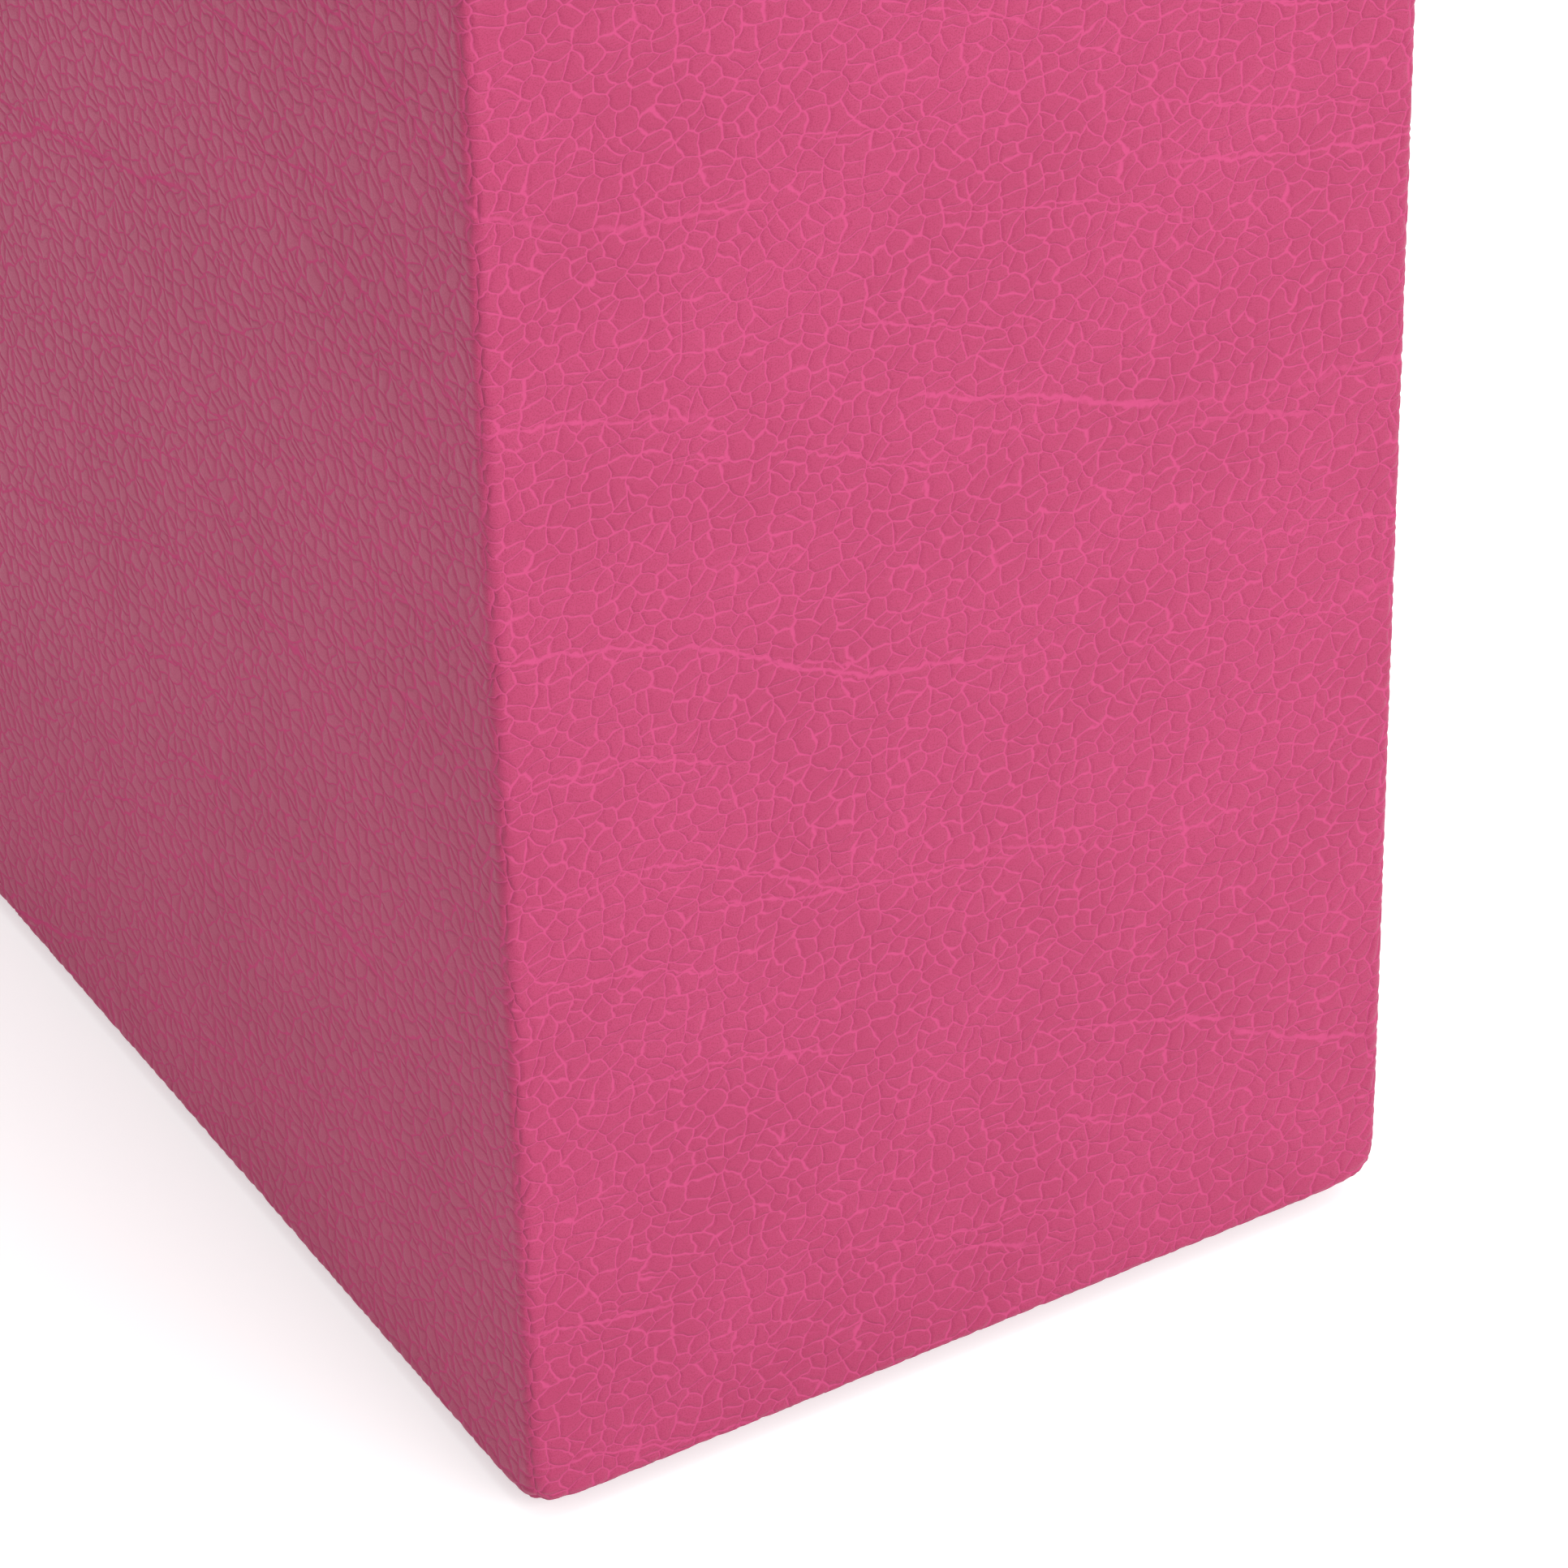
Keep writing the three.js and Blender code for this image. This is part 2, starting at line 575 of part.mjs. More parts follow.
// Lengths along X are from the middle of the eye, and outwards.
const BRACKET_FOOT = { from: -3, to: 11, half: 6, thickness: 1.4 };
const BRACKET_POST = { from: EYE.half + GAP, to: 5, half: 3.2 };
const BRACKET_STUB = { from: -3.1, to: 3.5, radius: 1.8 };
const BRACKET_HEAD = { from: -3.1, to: -EYE.half - GAP, radius: 2.7 };

function addBrackets(lid) {
  HANDLE_SIDES.forEach(([name, side]) => {
    const foot = LID_RISE + GAP;
    const pivot = LID_RISE + HANDLE.pivotHeight;
    const span = ({ from, to }) =>
      [side * (HANDLE.x + from), side * (HANDLE.x + to)].sort((first, second) => first - second);
    const [footLow, footHigh] = span(BRACKET_FOOT);
    const [postLow, postHigh] = span(BRACKET_POST);
    const footTop = foot + BRACKET_FOOT.thickness;
    const geometry = join(
      block([footLow, -BRACKET_FOOT.half, foot], [footHigh, BRACKET_FOOT.half, footTop]),
      block([postLow, -BRACKET_POST.half, foot], [postHigh, BRACKET_POST.half, pivot]),
      rod("x", BRACKET_POST.half, postLow, postHigh, [0, pivot]),
      rod("x", BRACKET_STUB.radius, ...span(BRACKET_STUB), [0, pivot]),
      rod("x", BRACKET_HEAD.radius, ...span(BRACKET_HEAD), [0, pivot]),
    );
    piece(lid, `${name}_handle_bracket`, geometry, BRASS);
  });
}

function addHandle(lid) {
  const handle = group(lid, 0, 0, LID_RISE + HANDLE.pivotHeight);
  HANDLE_SIDES.forEach(([name, side]) => {
    const x = side * HANDLE.x;
    const geometry = cut(
      join(
        rod("x", EYE.radius, x - EYE.half, x + EYE.half),
        block([x - EYE.half, -SOCKET.start - SOCKET.lap, -EYE.web], [x + EYE.half, 0, EYE.web]),
        rod("y", SOCKET.radius, -SOCKET.end, -SOCKET.start, [x, 0]),
      ),
      rod("x", EYE.hole, x - EYE.radius, x + EYE.radius),
    );
    piece(handle, `${name}_handle_eye`, geometry, BRASS);
  });

  // The grip is an arch in the plane z = 0 of the handle's frame, from one socket to the other.
  const { x, reach, corner, steps, curveSegments } = HANDLE;
  const start = -SOCKET.end - GAP;
  const at = (px, py) => new THREE.Vector3(px, py, 0);
  const leftBend = at(-x, -reach + corner);
  const leftAlong = at(-x + corner, -reach);
  const rightAlong = at(x - corner, -reach);
  const rightBend = at(x, -reach + corner);
  const path = new THREE.CurvePath();
  path.add(new THREE.LineCurve3(at(-x, start), leftBend));
  path.add(new THREE.QuadraticBezierCurve3(leftBend, at(-x, -reach), leftAlong));
  path.add(new THREE.LineCurve3(leftAlong, rightAlong));
  path.add(new THREE.QuadraticBezierCurve3(rightAlong, at(x, -reach), rightBend));
  path.add(new THREE.LineCurve3(rightBend, at(x, start)));
  const section = new THREE.Shape();
  section.absarc(0, 0, HANDLE.grip, 0, 2 * Math.PI, false);
  const grip = new THREE.ExtrudeGeometry(section, { steps, curveSegments, extrudePath: path });
  piece(handle, "handle_grip", grip, LEATHER_PINK);
}

// ---------------------------------------------------------------------------------------------
// The whole case
// ---------------------------------------------------------------------------------------------

function addLid(parent) {
  const lid = group(parent, 0, 0, LID_BOTTOM);
  const rimTop = addLidBoards(lid);
  addLidLeather(lid);
  addLidInside(lid, rimTop);
  addStrike(lid);
  addLidHinges(lid);
  addBrackets(lid);
  addHandle(lid);
}

const jewelleryCase = new THREE.Group();
addCarcass(jewelleryCase);
addBodyLeather(jewelleryCase);
addApronLeather(jewelleryCase);
addCompartment(jewelleryCase);
addLock(jewelleryCase);
addBolt(jewelleryCase);
addKey(jewelleryCase);
addBodyHinges(jewelleryCase);
DRAWER_OPENINGS.forEach((_, index) => addDrawer(jewelleryCase, index));
addLid(jewelleryCase);

export default jewelleryCase;
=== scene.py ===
"""The looks of an upright pink leather jewellery case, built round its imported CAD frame.

Lengths in this file are millimetres, and MM turns them into the scene's metres. The case stands on z = 0
with its drawers facing -Y. The hide's grain is one pattern, used twice: geometry nodes raise it on the
mesh, and the leather material adds its fine creases, pores and colour in the same places.
"""

import json
import math

import bmesh
import bpy
import numpy as np
from mathutils import Matrix, Vector


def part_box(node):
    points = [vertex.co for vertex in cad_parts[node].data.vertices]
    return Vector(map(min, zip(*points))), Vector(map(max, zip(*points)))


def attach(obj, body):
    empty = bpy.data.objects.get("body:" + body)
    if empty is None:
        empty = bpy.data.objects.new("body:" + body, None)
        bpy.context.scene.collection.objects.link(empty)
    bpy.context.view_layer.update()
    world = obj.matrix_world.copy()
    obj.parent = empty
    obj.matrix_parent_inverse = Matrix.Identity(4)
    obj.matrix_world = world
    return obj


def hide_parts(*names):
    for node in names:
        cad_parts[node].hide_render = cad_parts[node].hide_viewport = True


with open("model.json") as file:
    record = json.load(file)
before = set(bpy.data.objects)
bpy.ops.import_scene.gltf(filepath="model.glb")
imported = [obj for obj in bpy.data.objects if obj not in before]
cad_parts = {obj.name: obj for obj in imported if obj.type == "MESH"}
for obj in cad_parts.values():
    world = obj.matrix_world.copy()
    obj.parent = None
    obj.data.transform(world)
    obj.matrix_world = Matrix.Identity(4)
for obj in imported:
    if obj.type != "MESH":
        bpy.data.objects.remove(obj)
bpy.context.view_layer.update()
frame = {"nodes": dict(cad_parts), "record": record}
NODES = frame["nodes"]

MM = 0.001
TINY = 1e-6
SIDES = ("-x", "+x", "-y", "+y", "-z", "+z")


def node_box(name):
    """A CAD node's lowest and highest corner in millimetres."""
    low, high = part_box(name)
    return np.array(low) / MM, np.array(high) / MM


# ---- Node graphs


class Graph:
    """Short calls that add nodes to a shader tree or a geometry tree."""

    def __init__(self, tree):
        self.tree = tree

    def add(self, kind, **settings):
        node = self.tree.nodes.new(kind)
        for key, value in settings.items():
            setattr(node, key, value)
        return node

    def feed(self, socket, value):
        if isinstance(value, bpy.types.NodeSocket):
            self.tree.links.new(value, socket)
        else:
            socket.default_value = value

    def math(self, operation, first, second=0.0, clamp=False):
        node = self.add("ShaderNodeMath", operation=operation, use_clamp=clamp)
        self.feed(node.inputs[0], first)
        self.feed(node.inputs[1], second)
        return node.outputs[0]

    def vector(self, operation, first, second=(0.0, 0.0, 0.0)):
        node = self.add("ShaderNodeVectorMath", operation=operation)
        self.feed(node.inputs[0], first)
        self.feed(node.inputs[1], second)
        return node.outputs[0]

    def scaled(self, vector, factor):
        node = self.add("ShaderNodeVectorMath", operation="SCALE")
        self.feed(node.inputs[0], vector)
        self.feed(node.inputs["Scale"], factor)
        return node.outputs[0]

    def noise(self, at, scale, detail=2.0, roughness=0.5, colour=False):
        node = self.add("ShaderNodeTexNoise")
        self.feed(node.inputs["Vector"], at)
        node.inputs["Scale"].default_value = scale
        node.inputs["Detail"].default_value = detail
        node.inputs["Roughness"].default_value = roughness
        return node.outputs[1 if colour else 0]

    def edges(self, at, scale, randomness=1.0):
        """The distance from the borders of flat Voronoi cells."""
        node = self.add("ShaderNodeTexVoronoi", feature="DISTANCE_TO_EDGE", voronoi_dimensions="2D")
        self.feed(node.inputs["Vector"], at)
        node.inputs["Scale"].default_value = scale
        node.inputs["Randomness"].default_value = randomness
        return node.outputs["Distance"]

    def ramp(self, value, low, high, first=0.0, last=1.0):
        """A smooth step from first to last while value goes from low to high."""
        node = self.add("ShaderNodeMapRange", interpolation_type="SMOOTHSTEP")
        self.feed(node.inputs["Value"], value)
        for name, number in (("From Min", low), ("From Max", high), ("To Min", first), ("To Max", last)):
            node.inputs[name].default_value = number
        return node.outputs[0]

    def mix(self, factor, first, second):
        node = self.add("ShaderNodeMix", data_type="RGBA")
        self.feed(node.inputs[0], factor)
        self.feed(node.inputs[6], first)
        self.feed(node.inputs[7], second)
        return node.outputs[2]


# ---- The hide's grain, in millimetres on the flat hide

HALVES = (0.5, 0.5, 0.5)
PEBBLES_PER_MM = 0.45
PEBBLE_RANDOMNESS = 0.88
FINE_CELLS_PER_MM = 0.80
DRIFT, JITTER = 4.0, 0.45
FOLD_DRIFT, FOLD_JITTER = 2.8, 1.0
# Each family of folds: how far apart its lines are, and half the width of a line.
WIDE_FOLDS = (31.0, 0.32)
NARROW_FOLDS = (14.0, 0.20)
FOLD_WANDER = 1.25
SLANT_RISE, SLANT_LENGTH = 19.0, 60

# Heights of the relief on the mesh. The material's bump adds what is finer than the mesh.
PEBBLE_HEIGHT = 0.075
FOLD_DEPTH = 0.10
SWELL = 0.10
# The relief stands out more where the hide bends round an edge.
EDGE_RELIEF = 1.8


def pebble_grain(graph, at):
    """The hide's pattern at a place on the flat hide, in millimetres: pebbles (0 to 1, domed), creases
    round them, fine creases across them, and long folds along X. The last three are 1 on their lines."""
    drift = graph.vector("SUBTRACT", graph.noise(at, 0.16, 2.0, 0.55, colour=True), HALVES)
    jitter = graph.vector("SUBTRACT", graph.noise(at, 0.8, 1.0, 0.5, colour=True), HALVES)
    bent = graph.vector("ADD", at, graph.scaled(drift, DRIFT))
    bent = graph.vector("ADD", bent, graph.scaled(jitter, JITTER))
    # The pebbles are a little longer along X than across it.
    flat = graph.vector("MULTIPLY", bent, (0.88, 1.0, 1.0))
    distance = graph.edges(flat, PEBBLES_PER_MM, PEBBLE_RANDOMNESS)
    pebbles = graph.ramp(distance, 0.0, 0.28)
    creases = graph.ramp(distance, 0.02, 0.095, 1.0, 0.0)

    patches = graph.ramp(graph.noise(at, 0.07, 1.0), 0.42, 0.60)
    cracks = graph.ramp(graph.edges(bent, FINE_CELLS_PER_MM), 0.0, 0.055, 1.0, 0.0)
    fine = graph.math("MULTIPLY", cracks, patches)

    loose = graph.vector("ADD", at, graph.scaled(drift, FOLD_DRIFT))
    loose = graph.vector("ADD", loose, graph.scaled(jitter, FOLD_JITTER))
    wide = fold_lines(graph, loose, *WIDE_FOLDS)
    narrow = fold_lines(graph, loose, *NARROW_FOLDS)
    return pebbles, creases, fine, graph.math("MAXIMUM", wide, narrow)


def fold_lines(graph, at, spacing, half_width):
    """Thin lines that run roughly level, about spacing apart, and come and go along their length."""
    place = graph.add("ShaderNodeSeparateXYZ")
    graph.feed(place.inputs[0], at)
    along, up = place.outputs[0], place.outputs[1]
    flattened = graph.vector("MULTIPLY", at, (0.5, 1.0, 1.0))
    wander = graph.math("MULTIPLY", graph.noise(flattened, 0.5 / spacing, 1.0), FOLD_WANDER * spacing)
    wave = graph.math("SINE", graph.math("MULTIPLY", along, 1 / SLANT_LENGTH))
    level = graph.math("SUBTRACT", graph.math("ADD", up, wander), graph.math("MULTIPLY", wave, SLANT_RISE))
    away = graph.math("PINGPONG", level, spacing / 2)
    line = graph.ramp(away, half_width * 0.4, half_width * 1.3, 1.0, 0.0)
    # Each family of folds comes and goes in its own places.
    moved = graph.vector("ADD", flattened, (spacing, 0.0, 0.0))
    shown = graph.ramp(graph.noise(moved, 0.04, 0.0), 0.47, 0.57)
    return graph.math("MULTIPLY", line, shown)


def grain_relief_tree():
    """Geometry nodes that push each point along its "out" by the grain's height times its "relief"."""
    tree = bpy.data.node_groups.new("grain_relief", "GeometryNodeTree")
    tree.interface.new_socket("Geometry", in_out="INPUT", socket_type="NodeSocketGeometry")
    tree.interface.new_socket("Geometry", in_out="OUTPUT", socket_type="NodeSocketGeometry")
    graph = Graph(tree)

    def attribute(name, kind):
        node = graph.add("GeometryNodeInputNamedAttribute", data_type=kind)
        node.inputs["Name"].default_value = name
        return node.outputs["Attribute"]

    at = attribute("rest", "FLOAT_VECTOR")
    pebbles, _, _, folds = pebble_grain(graph, at)
    swell = graph.math("MULTIPLY", graph.noise(at, 0.05, 1.0), SWELL)
    height = graph.math("MULTIPLY", graph.math("SUBTRACT", pebbles, 1.0), PEBBLE_HEIGHT)
    height = graph.math("SUBTRACT", height, graph.math("MULTIPLY", folds, FOLD_DEPTH))
    height = graph.math("ADD", height, swell)
    height = graph.math("MULTIPLY", height, attribute("relief", "FLOAT"))
    offset = graph.scaled(attribute("out", "FLOAT_VECTOR"), graph.math("MULTIPLY", height, MM))
    move = graph.add("GeometryNodeSetPosition")
    graph.feed(move.inputs["Offset"], offset)
    entry = graph.add("NodeGroupInput")
    leave = graph.add("NodeGroupOutput")
    graph.feed(move.inputs["Geometry"], entry.outputs["Geometry"])
    graph.feed(leave.inputs["Geometry"], move.outputs["Geometry"])
    return tree


GRAIN_TREE = grain_relief_tree()


# ---- Materials


def new_material(name, roughness=0.5, **sockets):
    """A Principled material. Returns it with its graph and its shader node."""
    material = bpy.data.materials.new(name)
    material.use_nodes = True
    graph = Graph(material.node_tree)
    shader = next(n for n in material.node_tree.nodes if n.type == "BSDF_PRINCIPLED")
    shader.inputs["Roughness"].default_value = roughness
    for key, value in sockets.items():
        shader.inputs[key.replace("_", " ")].default_value = value
    return material, graph, shader


def own_place(graph):
    """The piece's own coordinates in millimetres."""
    return graph.scaled(graph.add("ShaderNodeTexCoord").outputs["Object"], 1 / MM)


def bump(graph, shader, height, distance, strength=1.0):
    """distance is in millimetres for a height of 1."""
    node = graph.add("ShaderNodeBump")
    node.inputs["Strength"].default_value = strength
    node.inputs["Distance"].default_value = distance * MM
    graph.feed(node.inputs["Height"], height)
    graph.feed(shader.inputs["Normal"], node.outputs["Normal"])


LEATHER_TONES = (0.317, 0.030, 0.092, 1), (0.346, 0.035, 0.104, 1)
LEATHER_PORES = (0.256, 0.022, 0.068, 1)
LEATHER_LINES = (0.470, 0.074, 0.180, 1)
LINE_STRENGTH = 0.62
LEATHER_GLOSS = 0.18


def leather_material():
    material, graph, shader = new_material("pink_pebble_leather", Specular_IOR_Level=LEATHER_GLOSS)
    at = graph.add("ShaderNodeAttribute", attribute_name="rest").outputs["Vector"]
    pebbles, creases, fine, folds = pebble_grain(graph, at)
    lines = graph.math("MAXIMUM", creases, graph.math("MAXIMUM", folds, graph.math("MULTIPLY", fine, 0.4)))
    pores = graph.noise(at, 5.5, 2.0, 0.6)
    clouds = graph.noise(at, 0.035, 2.0)

    top = graph.mix(graph.ramp(clouds, 0.3, 0.7), *LEATHER_TONES)
    speckled = graph.mix(graph.ramp(pores, 0.46, 0.66), top, LEATHER_PORES)
    colour = graph.mix(graph.math("MULTIPLY", lines, LINE_STRENGTH), speckled, LEATHER_LINES)
    graph.feed(shader.inputs["Base Color"], colour)
    # The creases are dull.
    gloss = graph.math("SUBTRACT", LEATHER_GLOSS, graph.math("MULTIPLY", lines, LEATHER_GLOSS))
    graph.feed(shader.inputs["Specular IOR Level"], gloss)

    worn = graph.math("ADD", graph.math("MULTIPLY", pores, 0.16), graph.math("MULTIPLY", lines, 0.16))
    graph.feed(shader.inputs["Roughness"], graph.math("ADD", worn, 0.40))

    height = graph.math("MULTIPLY", pebbles, 0.7)
    height = graph.math("SUBTRACT", height, graph.math("MULTIPLY", lines, 0.30))
    height = graph.math("ADD", height, graph.math("MULTIPLY", pores, 0.09))
    bump(graph, shader, height, 0.16)
    return material


def velvet_material(name, dark, light, sheen=0.7):
    material, graph, shader = new_material(
        name, 0.9, Sheen_Weight=sheen, Sheen_Roughness=0.35, Specular_IOR_Level=0.2
    )
    at = own_place(graph)
    brushed = graph.noise(graph.vector("MULTIPLY", at, (1.0, 0.35, 1.0)), 0.09, 3.0, 0.6)
    nap = graph.noise(at, 4.2, 2.0, 0.65)
    both = graph.math("ADD", graph.math("MULTIPLY", brushed, 0.6), graph.math("MULTIPLY", nap, 0.4))
    graph.feed(shader.inputs["Base Color"], graph.mix(graph.ramp(both, 0.36, 0.64), dark, light))
    bump(graph, shader, nap, 0.22)
    return material


def metal_material(name, dark, light, roughness, brushing=(1.0, 1.0, 1.0)):
    material, graph, shader = new_material(name, roughness, Metallic=1.0)
    at = own_place(graph)
    tarnish = graph.noise(at, 0.22, 3.0, 0.6)
    scratches = graph.noise(graph.vector("MULTIPLY", at, brushing), 3.0, 3.0, 0.7)
    graph.feed(shader.inputs["Base Color"], graph.mix(graph.ramp(tarnish, 0.45, 0.90), light, dark))
    rough = graph.math("ADD", graph.math("MULTIPLY", scratches, 0.16), roughness - 0.06)
    graph.feed(shader.inputs["Roughness"], graph.math("ADD", rough, graph.math("MULTIPLY", tarnish, 0.06)))
    bump(graph, shader, scratches, 0.006)
    return material


def wood_material():
    material, graph, shader = new_material("drawer_ply", 0.6, Specular_IOR_Level=0.35)
    at = own_place(graph)
    wander = graph.noise(at, 0.02, 2.0)
    along = graph.vector("MULTIPLY", at, (0.03, 0.03, 1.0))
    moved = graph.vector("ADD", along, graph.scaled((0.0, 0.0, 6.0), wander))
    grain = graph.noise(moved, 0.55, 5.0, 0.65)
    vessels = graph.noise(graph.vector("MULTIPLY", at, (0.05, 0.05, 1.0)), 3.4, 2.0, 0.6)
    tone = graph.mix(graph.ramp(grain, 0.34, 0.66), (0.62, 0.44, 0.26, 1), (0.44, 0.28, 0.14, 1))
    colour = graph.mix(graph.ramp(vessels, 0.58, 0.74), tone, (0.32, 0.19, 0.09, 1))
    graph.feed(shader.inputs["Base Color"], colour)
    bump(graph, shader, graph.math("ADD", grain, vessels), 0.05)
    return material


def board_material():
    material, graph, shader = new_material("greyboard", 0.92, Specular_IOR_Level=0.15)
    at = own_place(graph)
    pulp = graph.noise(at, 1.1, 4.0, 0.7)
    flecks = graph.ramp(graph.noise(graph.vector("MULTIPLY", at, (1.0, 0.4, 1.0)), 2.6, 2.0), 0.60, 0.70)
    tone = graph.mix(graph.ramp(pulp, 0.35, 0.65), (0.34, 0.29, 0.23, 1), (0.43, 0.38, 0.31, 1))
    graph.feed(shader.inputs["Base Color"], graph.mix(flecks, tone, (0.20, 0.16, 0.12, 1)))
    bump(graph, shader, pulp, 0.06)
    return material


def mirror_material():
    material, graph, shader = new_material("silvered_glass", 0.03, Metallic=1.0)
    at = own_place(graph)
    haze = graph.ramp(graph.noise(at, 0.05, 3.0, 0.6), 0.5, 0.8)
    graph.feed(shader.inputs["Base Color"], graph.mix(haze, (0.90, 0.92, 0.93, 1), (0.85, 0.88, 0.89, 1)))
    graph.feed(shader.inputs["Roughness"], graph.math("ADD", graph.math("MULTIPLY", haze, 0.02), 0.015))
    return material


def thread_material():
    material, graph, shader = new_material("pink_thread", 0.7, Sheen_Weight=0.3)
    at = own_place(graph)
    strands = graph.noise(at, 7.0, 1.0)
    colour = graph.mix(graph.ramp(strands, 0.4, 0.6), (0.50, 0.05, 0.14, 1), (0.72, 0.12, 0.27, 1))
    graph.feed(shader.inputs["Base Color"], colour)
    bump(graph, shader, strands, 0.05)
    return material


LEATHER = leather_material()
VELVET = velvet_material("blush_velvet", (0.60, 0.33, 0.33, 1), (0.76, 0.50, 0.48, 1))
SUEDE = velvet_material("base_suede", (0.045, 0.014, 0.028, 1), (0.10, 0.034, 0.060, 1), sheen=0.4)
BRASS = metal_material("polished_brass", (0.62, 0.40, 0.16, 1), (0.86, 0.63, 0.30, 1), 0.22)
STEEL = metal_material("brushed_steel", (0.42, 0.42, 0.43, 1), (0.60, 0.61, 0.62, 1), 0.34, (0.1, 1.0, 1.0))
WOOD = wood_material()
BOARD = board_material()
MIRROR = mirror_material()
THREAD = thread_material()

SLOT_LOOKS = {
    "pink_leather": LEATHER,
    "greyboard": BOARD,
    "drawer_wood": WOOD,
    "velvet": VELVET,
    "base_suede": SUEDE,
    "brass": BRASS,
    "steel": STEEL,
    "mirror": MIRROR,
}


# ---- Pieces

BODY_OF = {node: body for body, nodes in frame["record"]["behaviour"]["bodies"].items() for node in nodes}
SLOT_OF = {part["node"]: part["material_slot"] for part in frame["record"]["subparts"]}


def stand_in(obj, node, *others):
    """obj takes the place of one or more CAD nodes: their body, slot and look."""
    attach(obj, BODY_OF[node])
    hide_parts(node, *others)
    if not obj.data.materials:
        obj.data.materials.append(SLOT_LOOKS[SLOT_OF[node]])
    return obj


def mesh_from(bm, name):
    """Turns a bmesh into a mesh and frees it."""
    mesh = bpy.data.meshes.new(name)
    bm.to_mesh(mesh)
    bm.free()
    return mesh


def shade(obj, sharp):
    """Smooth shading, but for edges sharper than this many degrees."""
    obj.data.shade_smooth()
    obj.data.set_sharp_from_angle(angle=math.radians(sharp))


def add_object(name, mesh):
    obj = bpy.data.objects.new(name, mesh)
    bpy.context.scene.collection.objects.link(obj)
    return obj


def freeze(obj):
    """Applies an object's modifiers to its mesh."""
    evaluated = obj.evaluated_get(bpy.context.evaluated_depsgraph_get())
    mesh = bpy.data.meshes.new_from_object(evaluated)
    obj.modifiers.clear()
    obj.data = mesh
    return obj


def screw_head():
    """A domed, slotted screw head on z = 0, pointing up."""
    profile = ((1.15, -0.3), (1.15, 0.0), (1.0, 0.16), (0.72, 0.30), (0.38, 0.38), (0.0, 0.41))
    bm = bmesh.new()
    ring = [bm.verts.new((r * MM, 0, z * MM)) for r, z in profile]
    lines = [bm.edges.new(pair) for pair in zip(ring, ring[1:])]
    bmesh.ops.spin(bm, geom=ring + lines, angle=2 * math.pi, steps=24, axis=(0, 0, 1), cent=(0, 0, 0))
    bmesh.ops.remove_doubles(bm, verts=bm.verts, dist=TINY)
    bmesh.ops.holes_fill(bm, edges=bm.edges)
    bmesh.ops.recalc_face_normals(bm, faces=bm.faces)
    head = add_object("screw_head", mesh_from(bm, "screw_head"))
    bm = bmesh.new()
    bmesh.ops.create_cube(bm, size=1.0, matrix=Matrix.Diagonal((3 * MM, 0.34 * MM, 0.5 * MM, 1)))
    bmesh.ops.translate(bm, verts=bm.verts, vec=(0, 0, 0.42 * MM))
    cutter = add_object("slot_cutter", mesh_from(bm, "slot_cutter"))
    slot_cut = head.modifiers.new("slot", "BOOLEAN")
    slot_cut.object = cutter
    slot_cut.solver = "EXACT"
    freeze(head)
    made = head.data
    bpy.data.objects.remove(head)
    bpy.data.objects.remove(cutter)
    return made


SCREW = screw_head()


def screw_matrix(place, outwards, turn):
    """Puts a screw head at place in millimetres, pointing along outwards, its slot turned in degrees."""
    facing = Vector(outwards).to_track_quat("Z", "Y").to_matrix().to_4x4()
    return Matrix.Translation(Vector(place) * MM) @ facing @ Matrix.Rotation(math.radians(turn), 4, "Z")


METAL_EDGE = 35.0
SOFT_EDGE = 50.0


def refined(node, name, bevel=0.25, smooth=METAL_EDGE, screws=()):
    """A CAD node's shape with its facets joined, its edges rounded, its curves smooth and screws added."""
    bm = bmesh.new()
    bm.from_mesh(NODES[node].data)
    bmesh.ops.remove_doubles(bm, verts=bm.verts, dist=TINY)
    bmesh.ops.dissolve_limit(bm, angle_limit=math.radians(1), verts=bm.verts, edges=bm.edges)
    obj = add_object(name, mesh_from(bm, name))
    obj.matrix_world = NODES[node].matrix_world
    rounding = obj.modifiers.new("rounding", "BEVEL")
    rounding.width = bevel * MM
    rounding.segments = 3
    rounding.limit_method = "ANGLE"
    rounding.angle_limit = math.radians(smooth)
    freeze(obj)
    bm = bmesh.new()
    bm.from_mesh(obj.data)
    for matrix in screws:
        first = len(bm.verts)
        bm.from_mesh(SCREW)
        bm.verts.ensure_lookup_table()
        bmesh.ops.transform(bm, matrix=obj.matrix_world.inverted() @ matrix, verts=bm.verts[first:])
    bm.to_mesh(obj.data)
    bm.free()
    shade(obj, smooth)
    return stand_in(obj, node)


# ---- Covers: closed skins laid over the sides of a box, finely gridded outside


# How far from the box's edges the grid stays fine, and how far a corner's larger rounding reaches.
FINE_MARGIN = 3.6
CORNER_REACH = 4.0


def grid_lines(low, high, cuts, fine, coarse, margin):
    """Places of grid lines from low to high: a line at each cut, close together near both ends."""
    stops = {low, high, min(low + margin, high), max(high - margin, low)}
    stops |= {cut for cut in cuts if low < cut < high}
    stops = sorted(stops)
    lines = [low]
    for start, end in zip(stops, stops[1:]):
        near_end = end <= low + margin + TINY or start >= high - margin - TINY
        count = max(1, math.ceil((end - start) / (fine if near_end else coarse) - TINY))
        lines += [start + (end - start) * step / count for step in range(1, count + 1)]
    return np.array(lines)


